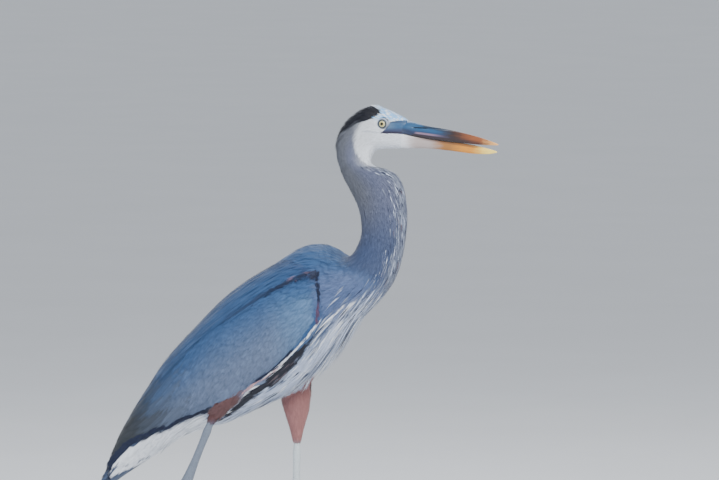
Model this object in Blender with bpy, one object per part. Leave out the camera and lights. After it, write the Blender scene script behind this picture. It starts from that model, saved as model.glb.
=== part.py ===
"""A life-size great blue heron, standing in mid-stride with its neck in an S and its bill a little open.

Units are metres in the scene; the tables below are in millimetres and are scaled by MM. +X is the way
the bird faces, +Y is its left, +Z is up, and the soles of the toes lie on Z = 0.

The face, head, neck, trunk and tail are one lofted form, parted with thin cuts. Each of its sections is
given by the point on its back, the point on its front and its half width. The folded wings are shells
that lie on that form, and the legs are tubes that leave it through the belly.
"""

import bmesh
import bpy
import numpy as np
from mathutils import Matrix

MM = 0.001
CUT = 0.3  # the thin cut between two pieces, in millimetres
SIDES_Y = np.array([0.0, 1.0, 0.0])

# ---- driving sizes, in millimetres ------------------------------------------------------------------

BODY_SIDES = 24  # points round one section of the body
BODY_STEPS = 2  # rings from one station to the next

# Each station: back x, back z, front x, front z, half width, and how much wider it is at the back.
BODY_LINE = {
    "face": (174.0, 766.4, 166.0, 723.2, 12.0, -0.20),
    "brow": (157.0, 774.6, 148.5, 722.6, 14.5, -0.20),
    "eye": (135.0, 783.0, 131.0, 721.4, 17.0, -0.15),
    "crown": (111.5, 785.2, 119.7, 717.3, 18.5, -0.05),
    "nape": (78.0, 764.5, 113.8, 706.6, 17.5, 0.00),
    "occiput": (60.7, 736.6, 112.9, 701.3, 17.0, 0.00),
    "throat": (57.8, 714.0, 114.6, 698.2, 17.0, 0.00),
    "neck_head": (61.4, 696.0, 125.0, 694.4, 17.5, 0.00),
    "neck_kink": (70.0, 674.5, 150.0, 687.2, 18.5, -0.05),
    "neck_bulge": (83.8, 650.7, 164.6, 669.0, 20.0, -0.05),
    "neck_middle": (95.0, 626.0, 171.2, 632.0, 20.5, 0.00),
    "neck_low": (98.4, 594.0, 169.4, 591.0, 22.5, 0.00),
    "neck_base": (86.2, 565.7, 159.6, 545.3, 30.0, 0.00),
    "shoulder": (74.2, 558.6, 145.3, 514.8, 40.0, 0.00),
    "breast": (60.7, 566.0, 121.3, 487.0, 50.0, 0.05),
    "hump": (39.9, 576.0, 91.0, 457.5, 58.0, 0.08),
    "wing_bend": (13.5, 575.0, 62.3, 417.4, 62.5, 0.10),
    "back_fore": (-14.0, 561.5, 27.1, 381.8, 64.5, 0.10),
    "back_middle": (-47.0, 538.5, -12.8, 348.9, 65.0, 0.10),
    "back_low": (-83.5, 515.5, -51.1, 329.7, 63.5, 0.10),
    "loin": (-120.0, 487.0, -86.2, 313.6, 60.0, 0.10),
    "rump": (-154.5, 452.0, -118.1, 299.1, 54.0, 0.10),
    "vent": (-186.0, 421.0, -148.5, 291.0, 46.5, 0.10),
    "tail_root": (-217.5, 387.0, -178.5, 283.0, 38.5, 0.05),
    "tail_fore": (-241.5, 352.0, -207.5, 266.5, 34.0, 0.00),
    "tail_middle": (-265.5, 316.0, -237.0, 244.0, 31.0, 0.00),
    "tail_aft": (-285.0, 283.0, -264.5, 223.0, 28.5, 0.00),
    "tail_end": (-301.0, 250.0, -289.5, 206.0, 26.5, 0.00),
    "tail_tip": (-316.5, 219.5, -310.5, 192.5, 24.0, 0.00),
    "tail_edge": (-328.0, 197.0, -326.0, 189.5, 19.0, 0.00),
}
STATION_NAMES = list(BODY_LINE)
BODY_PIECES = {  # node: its first and last station
    "head": ("face", "throat"),
    "neck_upper": ("throat", "neck_bulge"),
    "neck_middle": ("neck_bulge", "neck_low"),
    "neck_lower": ("neck_low", "shoulder"),
    "trunk": ("shoulder", "vent"),
    "tail": ("vent", "tail_edge"),
}

# The bill: top x, top z, under x, under z, half width. The two halves part towards their tips.
BILL_SIDES = 12
UPPER_BILL = (
    (174.4, 766.2, 170.2, 742.4, 11.6),
    (191.6, 761.4, 191.6, 741.9, 10.0),
    (215.0, 756.6, 215.0, 739.5, 8.4),
    (245.0, 752.3, 245.0, 737.2, 6.6),
    (275.0, 746.0, 275.0, 735.0, 4.7),
    (300.0, 738.6, 300.0, 732.2, 2.6),
    (316.0, 733.2, 316.0, 731.8, 0.7),
)
LOWER_BILL = (
    (170.0, 741.4, 166.5, 723.4, 11.4),
    (191.6, 740.6, 191.6, 723.9, 9.4),
    (215.0, 738.0, 215.0, 723.3, 7.6),
    (245.0, 734.4, 245.0, 721.0, 5.8),
    (275.0, 730.6, 275.0, 717.7, 4.2),
    (300.0, 726.0, 300.0, 718.0, 2.3),
    (313.7, 722.3, 313.7, 720.8, 0.6),
)
UPPER_EGG, LOWER_EGG = -0.35, 0.35  # a roof above, a keel below

EYE_PLACE = (137.5, 10.2, 760.6)  # the left eyeball's middle
EYE_RADIUS = 9.0

# The folded wing, as a shell on the body: its stretch along the body line and round the section.
WING_START = 1.45  # stations behind "breast" where the bend's upper end lies
WING_BEND_SLANT = 0.65  # how much further back the bend's lower end is
WING_ROWS, WING_COLUMNS = 22, 11
WING_CLEARANCE = 0.8  # from the body's own surface
WING_THICKNESS = 7.0
WING_EDGE = 1.3  # the shell's thickness at its edges
WING_FORE = 0.16  # share of the length over which it swells from the bend
# Share of the wing's length, upper edge and lower edge in degrees round the section from the back.
WING_EDGES = (
    (0.00, 64.0, 108.0),
    (0.06, 47.0, 115.0),
    (0.20, 9.0, 121.0),
    (0.40, 3.0, 127.0),
    (0.65, 3.0, 130.0),
    (0.80, 3.5, 118.0),
    (0.92, 5.0, 108.0),
    (1.00, 16.0, 100.0),
)

# Each leg from the thigh down: x, y, z, half depth fore and aft, half width. y is outwards.
LEG_SIDES = 12
LEG_STEPS = 2
LEG_JOINTS = {"thigh": (0, 4), "shank": (4, 8), "tarsus": (8, 15)}
LEFT_LEG = (
    (-20.5, 36.0, 385.0, 38.0, 24.0),
    (-21.0, 39.0, 344.0, 28.0, 20.0),
    (-21.6, 42.0, 311.0, 18.5, 14.5),
    (-22.0, 44.0, 286.0, 10.8, 9.2),
    (-22.3, 45.0, 268.0, 7.4, 6.6),
    (-22.6, 45.0, 240.0, 5.6, 5.2),
    (-23.0, 45.0, 214.0, 5.8, 5.4),
    (-23.4, 45.0, 197.0, 8.0, 7.6),
    (-23.8, 45.0, 184.0, 9.4, 8.6),
    (-18.8, 45.0, 168.0, 6.6, 6.8),
    (-11.0, 45.0, 142.0, 4.7, 5.0),
    (1.5, 45.0, 101.0, 4.2, 4.5),
    (15.5, 45.0, 55.0, 4.5, 5.2),
    (23.4, 45.0, 29.0, 5.6, 7.8),
    (28.4, 45.0, 12.6, 7.4, 10.4),
    (30.2, 45.0, 5.5, 6.6, 9.4),
)
RIGHT_LEG = (
    (-84.0, 36.0, 388.0, 34.0, 20.0),
    (-100.0, 38.5, 357.0, 27.0, 17.0),
    (-112.5, 41.0, 333.0, 18.0, 13.0),
    (-121.5, 43.5, 317.0, 11.2, 9.2),
    (-127.5, 45.0, 304.5, 7.8, 6.8),
    (-138.8, 45.0, 278.0, 5.8, 5.3),
    (-151.5, 45.0, 248.0, 5.9, 5.4),
    (-163.0, 45.0, 221.0, 7.8, 7.4),
    (-171.0, 45.0, 202.0, 9.4, 8.6),
    (-171.4, 45.0, 184.0, 6.8, 6.8),
    (-170.2, 45.0, 157.0, 4.7, 5.0),
    (-168.2, 45.0, 114.0, 4.2, 4.5),
    (-166.2, 45.0, 68.0, 4.5, 5.2),
    (-165.0, 45.0, 41.0, 5.6, 7.8),
    (-164.4, 45.0, 24.0, 7.4, 10.4),
    (-164.0, 45.0, 16.5, 6.6, 9.4),
)

# Each toe: heading in degrees outwards, length, claw length, offset outwards at its root.
TOES = {
    "inner": (-27.0, 62.0, 13.0, -8.3),
    "middle": (0.0, 88.0, 14.0, 0.0),
    "outer": (28.0, 72.0, 12.0, 8.3),
    "hallux": (188.0, 47.0, 19.0, -2.5),
}
TOE_SIDES, TOE_RINGS = 8, 10
TOE_ROOT_RADIUS, TOE_TIP_RADIUS = 4.0, 2.9
TOE_PADS = 0.35  # how far a joint's pad swells
TOE_START = 4.0  # from the foot's middle to the root of a front toe
HALLUX_START = 3.0
TOE_SINK = 0.92  # a toe's middle height over its radius, so that its sole is a narrow flat
TOE_LANDS = {"left": 0.30, "right": 0.62}  # share of the toe's length at which it reaches the floor
FEET = {"left": (29.4, 45.0, 8.0), "right": (-164.2, 45.0, 20.0)}  # the joint that the toes leave
CLAW_RINGS, CLAW_SIDES = 5, 6
CLAW_ROOT_RADIUS, CLAW_TIP_RADIUS, CLAW_ARCH = 2.3, 0.35, 2.0

COLOURS = {  # base colour, roughness
    "plumage_grey": ((0.17, 0.24, 0.35), 0.75),
    "plumage_white": ((0.72, 0.74, 0.78), 0.75),
    "plumage_rufous": ((0.34, 0.17, 0.14), 0.80),
    "bill_upper": ((0.20, 0.22, 0.24), 0.40),
    "bill_lower": ((0.75, 0.52, 0.20), 0.40),
    "leg_skin": ((0.33, 0.36, 0.34), 0.55),
    "claw": ((0.05, 0.05, 0.05), 0.40),
    "eye": ((0.78, 0.68, 0.25), 0.10),
}


# ---- shared tools -----------------------------------------------------------------------------------


def material(name):
    """The named finish, made the first time that it is asked for."""
    found = bpy.data.materials.get(name)
    if found is None:
        colour, roughness = COLOURS[name]
        found = bpy.data.materials.new(name)
        found.use_nodes = True
        shader = found.node_tree.nodes["Principled BSDF"]
        shader.inputs["Base Color"].default_value = (*colour, 1.0)
        shader.inputs["Roughness"].default_value = roughness
    return found


def smooth(rows, steps):
    """The rows with more between them, on a cubic through all of them."""
    rows = np.asarray(rows, float)
    slopes = np.gradient(rows, axis=0)
    out = [rows[0]]
    for a, b, slope_a, slope_b in zip(rows[:-1], rows[1:], slopes[:-1], slopes[1:]):
        for t in np.arange(1, steps + 1) / steps:
            out.append(
                (2 * t**3 - 3 * t**2 + 1) * a
                + (t**3 - 2 * t**2 + t) * slope_a
                + (3 * t**2 - 2 * t**3) * b
                + (t**3 - t**2) * slope_b
            )
    return np.array(out)


def unit(vector):
    return vector / np.linalg.norm(vector, axis=-1, keepdims=True)


def placed(name, points, faces, collection, finish):
    """A mesh object of these points, in millimetres, with its normals facing out."""
    mesh = bpy.data.meshes.new(name)
    mesh.from_pydata([tuple(p) for p in np.asarray(points) * MM], [], faces)
    form = bmesh.new()
    form.from_mesh(mesh)
    bmesh.ops.recalc_face_normals(form, faces=form.faces)
    form.to_mesh(mesh)
    form.free()
    mesh.shade_smooth()
    mesh.materials.append(material(finish))
    piece = bpy.data.objects.new(name, mesh)
    collection.objects.link(piece)
    return piece


def loft_faces(rings, sides):
    """Quads from ring to ring, and a cap at each end."""
    faces = [tuple(range(sides)), tuple(range((rings - 1) * sides, rings * sides))]
    for r in range(rings - 1):
        for k in range(sides):
            after = (k + 1) % sides
            faces.append((r * sides + k, r * sides + after, (r + 1) * sides + after, (r + 1) * sides + k))
    return faces


def loft(name, rings, collection, finish):
    """A closed solid through these rings of points."""
    rings = np.asarray(rings)
    return placed(name, rings.reshape(-1, 3), loft_faces(len(rings), rings.shape[1]), collection, finish)


def cut_by(piece, cutter):
    modifier = piece.modifiers.new("cut_" + cutter.name, "BOOLEAN")
    modifier.operation = "DIFFERENCE"
    modifier.solver = "EXACT"
    modifier.object = cutter


# ---- the body ---------------------------------------------------------------------------------------


def section(station, angles, lift=0.0):
    """Points round one section, from its back (angle 0) past its side to its front (half a turn)."""
    back = np.array([station[0], 0.0, station[1]])
    front = np.array([station[2], 0.0, station[3]])
    half_depth, half_width, egg = np.linalg.norm(front - back) / 2, station[4], station[5]
    forwards = unit(front - back)
    cos, sin = np.cos(angles)[:, None], np.sin(angles)[:, None]
    points = (back + front) / 2 - forwards * half_depth * cos
    points = points + SIDES_Y * half_width * sin * (1 + egg * cos)
    outwards = unit(-forwards * cos / half_depth + SIDES_Y * sin / half_width)
    return points + outwards * np.reshape(lift, (-1, 1))


def along(station):
    """The way the body line runs through a section, from the face to the tail."""
    return unit(np.cross(SIDES_Y, [station[2] - station[0], 0.0, station[3] - station[1]]))


def body_piece(name, collection, finish, lift=0.0):
    """One stretch of the body line, half a cut short at each inner end."""
    stations = smooth(list(BODY_LINE.values()), BODY_STEPS)
    first, last = (STATION_NAMES.index(end) * BODY_STEPS for end in BODY_PIECES[name])
    angles = np.arange(BODY_SIDES) * 2 * np.pi / BODY_SIDES
    rings = [section(station, angles, lift) for station in stations[first : last + 1]]
    if first > 0:
        rings[0] = rings[0] + along(stations[first]) * (CUT / 2 - lift)
    if last < len(stations) - 1:
        rings[-1] = rings[-1] - along(stations[last]) * (CUT / 2 - lift)
    return loft(name, rings, collection, finish)


def body_at(place):
    """The section at a fractional station, on the same cubic as the body's own rings."""
    fine = 8
    stations = smooth(list(BODY_LINE.values()), fine)
    rows = np.arange(len(stations)) / fine
    return np.array([np.interp(place, rows, column) for column in stations.T])


def wing(name, side, collection, lift=0.0, depth=0.0):
    """A folded wing: a shell over the body's flank, thin at its edges, from the bend to the tail's tip.

    A cutter has some lift, which also lowers its edge, and some depth into the body.
    """
    start = STATION_NAMES.index("breast") + WING_START
    end = STATION_NAMES.index("tail_end") + 0.45
    shares, uppers, lowers = np.array(WING_EDGES).T
    inner, outer = [], []
    for row in np.linspace(0, 1, WING_ROWS) ** 1.15:
        upper, lower = np.interp(row, shares, uppers), np.interp(row, shares, lowers) + 2.5 * lift
        across = np.linspace(0, 1, WING_COLUMNS)
        angles = np.radians(upper + (lower - upper) * across)
        swell = np.sin(np.pi * across) ** 0.6 * min(1.0, row / WING_FORE) ** 0.5 * (1 - 0.35 * row)
        thickness = WING_EDGE + (WING_THICKNESS - WING_EDGE) * swell
        slant = WING_BEND_SLANT * across * (1 - row) ** 2
        places = start + (end - start) * row + slant
        below, above = [], []
        for place, angle, thick in zip(places, angles, thickness):
            station = body_at(place)
            below += [section(station, np.array([angle]), WING_CLEARANCE - lift - depth)[0]]
            above += [section(station, np.array([angle]), WING_CLEARANCE + thick + lift)[0]]
        inner.append(below)
        outer.append(above)
    points = np.concatenate([np.reshape(inner, (-1, 3)), np.reshape(outer, (-1, 3))])
    points[:, 1] *= side
    under, count = WING_ROWS * WING_COLUMNS, WING_COLUMNS
    faces = []
    for r in range(WING_ROWS - 1):
        for c in range(count - 1):
            quad = (r * count + c, r * count + c + 1, (r + 1) * count + c + 1, (r + 1) * count + c)
            faces += [quad, tuple(under + k for k in reversed(quad))]
    rim = [c for c in range(count)]
    rim += [r * count + count - 1 for r in range(1, WING_ROWS)]
    rim += [(WING_ROWS - 1) * count + c for c in reversed(range(count - 1))]
    rim += [r * count for r in reversed(range(1, WING_ROWS - 1))]
    for a, b in zip(rim, rim[1:] + rim[:1]):
        faces.append((a, b, under + b, under + a))
    return placed(name, points, faces, collection, "plumage_grey")


def bill_half(name, table, egg, collection, finish):
    stations = [(*row, egg) for row in smooth(table, 2)]
    angles = np.arange(BILL_SIDES) * 2 * np.pi / BILL_SIDES
    return loft(name, [section(station, angles) for station in stations], collection, finish)


def ball(name, centre, radius, collection, finish):
    form = bmesh.new()
    bmesh.ops.create_uvsphere(
        form,
        u_segments=16,
        v_segments=10,
        radius=radius * MM,
        matrix=Matrix.Translation([c * MM for c in centre]) @ Matrix.Rotation(np.pi / 2, 4, "X"),
    )
    mesh = bpy.data.meshes.new(name)
    form.to_mesh(mesh)
    form.free()
    mesh.shade_smooth()
    mesh.materials.append(material(finish))
    piece = bpy.data.objects.new(name, mesh)
    collection.objects.link(piece)
    return piece


# ---- the legs ---------------------------------------------------------------------------------------


def tube_rings(path, sides, floor=None):
    """Rings round a path of x, y, z, half depth, half width, square to it. None goes below the floor."""
    path = np.asarray(path, float)
    tangents = unit(np.gradient(path[:, :3], axis=0))
    if floor is not None:  # the ends of a toe and its claw stand upright
        for end in (0, -1):
            tangents[end] = unit(tangents[end] * [1.0, 1.0, 0.0])
    angles = (np.arange(sides) + 0.5) * 2 * np.pi / sides  # a flat, not a corner, lies lowest
    rings = []
    for (x, y, z, depth, width), tangent in zip(path, tangents):
        across = unit(np.cross(tangent, [1.0, 0.0, 0.0] if abs(tangent[2]) > 0.7 else [0.0, 0.0, 1.0]))
        fore = np.cross(across, tangent)
        ring = np.outer(np.cos(angles) * depth, fore) + np.outer(np.sin(angles) * width, across)
        ring += [x, y, z]
        if floor is not None:
            ring[:, 2] = np.maximum(ring[:, 2], floor)
        rings.append(ring)
    return np.array(rings), tangents


def leg(side_name, side, table, collection, cutters):
    """Thigh, shank and tarsus of one leg, parted square to it where its feathers end and at the ankle."""
    path = smooth(table, LEG_STEPS)
    path[:, 1] *= side
    rings, tangents = tube_rings(path, LEG_SIDES)
    made = {}
    for name, (first, last) in LEG_JOINTS.items():
        first, last = first * LEG_STEPS, last * LEG_STEPS
        own = rings[first : last + 1].copy()
        own[0] += tangents[first] * CUT / 2
        own[-1] -= tangents[last] * CUT / 2
        finish = "plumage_rufous" if name == "thigh" else "leg_skin"
        made[name] = loft(f"{name}_{side_name}", own, collection, finish)
    for cutter in cutters:
        cut_by(made["thigh"], cutter)
    return made


def toe_path(side_name, side, toe):
    """x, y, z and radius along a toe, from its root down to the floor and on to its claw."""
    heading, length, _, offset = TOES[toe]
    joint = np.array(FEET[side_name])
    turn = np.radians(heading)
    fore = np.array([np.cos(turn), np.sin(turn)])
    start = HALLUX_START if toe == "hallux" else TOE_START
    root = joint[:2] + fore * start + [0.0, offset]
    t = np.linspace(0, 1, TOE_RINGS)
    radius = TOE_ROOT_RADIUS + (TOE_TIP_RADIUS - TOE_ROOT_RADIUS) * t
    pads = np.sin(t * np.pi * (2 if toe == "hallux" else 3)) ** 2
    lands = TOE_LANDS[side_name]
    drop = np.clip(1 - t / lands, 0, 1) ** 1.4 * max(joint[2] - TOE_ROOT_RADIUS, 0.0)
    path = np.zeros((TOE_RINGS, 5))
    path[:, :2] = root + fore * (length * t)[:, None]
    path[:, 1] *= side
    path[:, 2] = radius * TOE_SINK + drop
    path[:, 3] = radius + pads * TOE_PADS
    path[:, 4] = radius + pads * TOE_PADS * 2
    return path


def claw_path(toe_end, heading, claw_length):
    """A tapering hook from the end of a toe, arched up and then down to the floor."""
    t = np.linspace(0, 1, CLAW_RINGS)
    path = np.zeros((CLAW_RINGS, 5))
    path[:, :2] = toe_end[:2] + heading * (CUT + claw_length * t)[:, None]
    radius = CLAW_ROOT_RADIUS + (CLAW_TIP_RADIUS - CLAW_ROOT_RADIUS) * t
    path[:, 2] = toe_end[2] + np.sin(np.pi * t) * CLAW_ARCH - t * (toe_end[2] - 2 * CLAW_TIP_RADIUS)
    path[:, 3] = radius
    path[:, 4] = radius * 0.75
    return path


def foot_cutter(side_name, side, table, cutters):
    """The foot end of the tarsus, one cut wider, which the toes are cut back from."""
    path = smooth(table, LEG_STEPS)[-3 * LEG_STEPS - 1 :]
    path[:, 1] *= side
    path[:, 3:] += CUT
    path[-1, :3] += unit(path[-1, :3] - path[-2, :3]) * CUT
    rings, _ = tube_rings(path, LEG_SIDES)
    return loft(f"cutter_tarsus_{side_name}", rings, cutters, "leg_skin")


def foot(side_name, side, table, collection, cutters):
    """Four toes and their claws, with flat soles on the floor."""
    tarsus_end = foot_cutter(side_name, side, table, cutters)
    for toe in TOES:
        path = toe_path(side_name, side, toe)
        rings, _ = tube_rings(path, TOE_SIDES, floor=0.0)
        piece = loft(f"toe_{side_name}_{toe}", rings, collection, "leg_skin")
        cut_by(piece, tarsus_end)
        heading = unit(path[-1, :2] - path[-2, :2])
        rings, _ = tube_rings(claw_path(path[-1, :3], heading, TOES[toe][2]), CLAW_SIDES, floor=0.0)
        loft(f"claw_{side_name}_{toe}", rings, collection, "claw")


# ---- the whole bird ---------------------------------------------------------------------------------


def new_collection(name):
    made = bpy.data.collections.new(name)
    bpy.context.scene.collection.children.link(made)
    return made


def build():
    for old in list(bpy.data.objects):
        bpy.data.objects.remove(old, do_unlink=True)
    heron = new_collection("great_blue_heron")
    cutters = new_collection("cutters")

    for name in BODY_PIECES:
        body_piece(name, heron, "plumage_grey")
    trunk_cutter = body_piece("trunk", cutters, "plumage_grey", lift=CUT)
    trunk_cutter.name = "cutter_trunk"

    bill_half("bill_upper", UPPER_BILL, UPPER_EGG, heron, "bill_upper")
    bill_half("bill_lower", LOWER_BILL, LOWER_EGG, heron, "bill_lower")

    for side_name, side, table in (("left", 1, LEFT_LEG), ("right", -1, RIGHT_LEG)):
        centre = (EYE_PLACE[0], EYE_PLACE[1] * side, EYE_PLACE[2])
        ball(f"eye_{side_name}", centre, EYE_RADIUS, heron, "eye")
        socket = ball(f"cutter_eye_{side_name}", centre, EYE_RADIUS + CUT, cutters, "eye")
        cut_by(bpy.data.objects["head"], socket)
        wing(f"wing_{side_name}", side, heron)
        wing_cutter = wing(f"cutter_wing_{side_name}", side, cutters, lift=CUT, depth=12.0)
        leg(side_name, side, table, heron, [trunk_cutter, wing_cutter])
        foot(side_name, side, table, heron, cutters)

    corners = np.array([corner[:] for piece in heron.objects for corner in piece.bound_box])
    middle = (corners.min(axis=0) + corners.max(axis=0)) / 2
    for piece in [*heron.objects, *cutters.objects]:
        piece.data.transform(Matrix.Translation((-middle[0], -middle[1], 0.0)))
    for cutter in cutters.objects:
        cutter.hide_render = True
        cutter.display_type = "WIRE"


build()
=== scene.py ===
# %% [markdown]
# # A great blue heron in its feathers
#
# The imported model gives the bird's solids: head, neck, trunk, tail, wings, legs, bill and eyes. Here they
# get what a mounted specimen shows: a skin without seams, feathers laid on it one by one, a horny bill,
# wet eyes with lids, and scaled legs.

# %% The frame
import math

import bpy
import numpy as np
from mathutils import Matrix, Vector
from mathutils.bvhtree import BVHTree
from mathutils.kdtree import KDTree


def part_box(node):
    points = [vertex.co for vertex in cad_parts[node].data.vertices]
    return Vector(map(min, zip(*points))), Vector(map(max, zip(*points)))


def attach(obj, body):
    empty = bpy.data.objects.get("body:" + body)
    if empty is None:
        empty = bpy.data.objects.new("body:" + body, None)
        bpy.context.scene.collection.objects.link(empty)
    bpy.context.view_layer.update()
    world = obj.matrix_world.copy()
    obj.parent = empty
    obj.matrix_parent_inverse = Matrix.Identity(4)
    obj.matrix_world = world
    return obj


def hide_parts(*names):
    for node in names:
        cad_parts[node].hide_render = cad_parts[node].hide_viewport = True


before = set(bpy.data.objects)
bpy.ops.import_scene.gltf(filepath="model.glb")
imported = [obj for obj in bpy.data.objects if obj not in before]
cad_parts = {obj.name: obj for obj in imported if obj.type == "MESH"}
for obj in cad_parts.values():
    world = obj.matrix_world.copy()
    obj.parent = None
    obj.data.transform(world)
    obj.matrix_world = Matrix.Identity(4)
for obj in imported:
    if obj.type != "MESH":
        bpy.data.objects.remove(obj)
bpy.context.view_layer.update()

BODY = "root"
MM = 0.001
BILL_TIP = 316.0  # millimetres ahead of the body line's own zero
SHIFT = np.array([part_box("bill_upper")[1].x - BILL_TIP * MM, 0.0, 0.0])
SIDES = {"left": 1.0, "right": -1.0}
rng = np.random.default_rng(11)

# %% [markdown]
# The camera, the floor and the light come first, so that every later step can be looked at. The bird is
# seen from its right and a little from the front with a very long lens, which keeps its shape free of
# perspective. Three large soft lamps and a pale surround act as a studio: a warm key high in front, a
# wide fill behind the camera and a rim from above.

# %% Camera, floor and lamps
AZIMUTH, ELEVATION = math.radians(20.0), math.radians(5.0)
LENS, SENSOR = 300.0, 36.0
VIEW_WIDTH = 1.0785  # metres across the view at the bird
LOOK_AT = Vector((0.0952 + SHIFT[0], 0.0, 0.5840))


def aim(thing, target):
    """Turns a camera or lamp so that it looks at a point."""
    thing.rotation_euler = (target - thing.location).to_track_quat("-Z", "Y").to_euler()


bpy.ops.object.camera_add()
camera = bpy.context.object
camera.data.lens = LENS
camera.data.sensor_width = SENSOR
camera.data.clip_end = 200.0
towards = Vector(
    (
        math.sin(AZIMUTH) * math.cos(ELEVATION), -math.cos(AZIMUTH) * math.cos(ELEVATION),
        math.sin(ELEVATION),
    )
)
camera.location = LOOK_AT + towards * (VIEW_WIDTH * LENS / SENSOR)
aim(camera, LOOK_AT)
bpy.context.scene.camera = camera

LAMPS = {  # place, size in metres, watts, colour
    "key": ((1.5, -1.5, 2.1), 0.9, 80.0, (1.0, 0.97, 0.92)),
    "fill": ((-1.5, -2.4, 0.9), 2.2, 29.0, (0.86, 0.92, 1.0)),
    "rim": ((-0.3, 1.2, 2.4), 1.6, 32.0, (0.93, 0.96, 1.0)),
}
for lamp_name, (place, size, watts, colour) in LAMPS.items():
    bpy.ops.object.light_add(type="AREA", location=place)
    lamp = bpy.context.object
    lamp.name = "lamp_" + lamp_name
    lamp.data.shape = "DISK"
    lamp.data.size = size
    lamp.data.energy = watts
    lamp.data.color = colour
    aim(lamp, Vector((0.0, 0.0, 0.5)))

world = bpy.data.worlds.new("studio")
bpy.context.scene.world = world
world.use_nodes = True
world.node_tree.nodes["Background"].inputs["Color"].default_value = (0.80, 0.85, 0.92, 1.0)
world.node_tree.nodes["Background"].inputs["Strength"].default_value = 0.80
print("camera", tuple(round(c, 3) for c in camera.location))

# %% [markdown]
# Shader maths reads best as maths. `Wire` wraps one socket of a node tree and overloads the operators, so
# that `1 - mask * 0.4` builds the Math nodes. Every other node comes from its one method `node`.


# %% Shader sums as Python sums
class Wire:
    """One socket of a material. Sums of wires and numbers add Math nodes."""

    def __init__(self, tree, socket):
        self.tree, self.socket = tree, socket

    def node(self, kind, inputs, output=0, stops=None, **settings):
        """A new node: its settings first, then the values or wires of its sockets. Gives an output."""
        made = self.tree.nodes.new(kind)
        for key, value in settings.items():
            setattr(made, key, value)
        for position, colour in stops or ():
            at = made.color_ramp.elements.new(position)
            at.color = colour
        for key, value in inputs.items():
            if isinstance(value, Wire):
                self.tree.links.new(value.socket, made.inputs[key])
            else:
                made.inputs[key].default_value = value
        return Wire(self.tree, made.outputs[output])

    def maths(self, operation, first, second=0.0):
        return self.node("ShaderNodeMath", {0: first, 1: second}, operation=operation)

    def __add__(self, other):
        return self.maths("ADD", self, other)

    def __sub__(self, other):
        return self.maths("SUBTRACT", self, other)

    def __rsub__(self, other):
        return self.maths("SUBTRACT", other, self)

    def __mul__(self, other):
        return self.maths("MULTIPLY", self, other)

    def __truediv__(self, other):
        return self.maths("DIVIDE", self, other)

    def __pow__(self, other):
        return self.maths("POWER", self, other)

    __radd__, __rmul__ = __add__, __mul__

    def size(self):
        return self.maths("ABSOLUTE", self)

    def sine(self):
        return self.maths("SINE", self)

    def rise(self, low, high):
        """0 below low, 1 above high and a soft slope between them."""
        limits = {"Value": self, "From Min": low, "From Max": high}
        return self.node("ShaderNodeMapRange", limits, interpolation_type="SMOOTHSTEP")

    def mix(self, colour, other):
        """This wire as the share of the other colour in the first."""
        inputs = {0: self, 6: colour, 7: other}
        return self.node("ShaderNodeMix", inputs, output=2, data_type="RGBA", clamp_factor=True)

    def brighter(self, colour):
        """A colour times this wire."""
        return self.node("ShaderNodeVectorMath", {0: colour, "Scale": self}, operation="SCALE")

    def noise(self, scale, detail=3.0, roughness=0.55, stretch=None):
        """Noise at so many cells to the metre, on this wire's coordinates."""
        place = self
        if stretch is not None:
            place = self.node("ShaderNodeMapping", {"Vector": self, "Scale": stretch})
        inputs = {"Vector": place, "Scale": scale, "Detail": detail, "Roughness": roughness}
        return self.node("ShaderNodeTexNoise", inputs)

    def cells(self, scale, feature="F1"):
        inputs = {"Vector": self, "Scale": scale}
        return self.node("ShaderNodeTexVoronoi", inputs, feature=feature)

    def painted(self):
        """The colour that paint has kept in the mesh."""
        return self.node("ShaderNodeAttribute", {}, attribute_name="markings")

    def bump(self, height_mm, strength=1.0):
        """A normal from this wire, with its 0 to 1 standing for so many millimetres."""
        inputs = {"Height": self, "Distance": height_mm * MM, "Strength": strength}
        return self.node("ShaderNodeBump", inputs)


def linear(srgb):
    """Colours of 0 to 255 as a screen shows them, turned into light."""
    share = np.asarray(srgb, float) / 255.0
    return np.where(share < 0.04045, share / 12.92, ((share + 0.055) / 1.055) ** 2.4)


def rgba(*srgb):
    return (*linear(srgb), 1.0)


def finish(name, **constants):
    """A new Principled material: its tree, ready for wires, with its constant sockets set."""
    material = bpy.data.materials.new(name)
    material.use_nodes = True
    shader = material.node_tree.nodes["Principled BSDF"]
    for key, value in constants.items():
        shader.inputs[key.replace("_", " ")].default_value = value
    place = material.node_tree.nodes.new("ShaderNodeTexCoord").outputs["Object"]
    return material, shader, Wire(material.node_tree, place)


def connect(shader, **wires):
    for key, wire in wires.items():
        wire.tree.links.new(wire.socket, shader.inputs[key.replace("_", " ")])


floor_finish, shader, place = finish("floor_paper", Roughness=0.9)
connect(shader, Base_Color=place.noise(3.0).mix(rgba(226, 227, 229), rgba(233, 234, 236)))
bpy.ops.mesh.primitive_plane_add(size=120.0)
floor = bpy.context.object
floor.name = "floor"
floor.data.materials.append(floor_finish)
print("floor and", len(bpy.data.materials), "materials so far")

# %% [markdown]
# ## The body line
#
# Everything that grows on the bird follows one line, from the face over the neck and along the back to the
# tail. Each station of that line is a slice through the body: the point on its back, the point on its
# front, and its half width. A place on the bird is then a station number and an angle round the slice, 0 on
# the back and 180 on the throat, breast and belly. Feathers could be placed by eye or by a particle system,
# but these two numbers say where a tract starts and ends, which way it lies and what colour it is.

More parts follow.
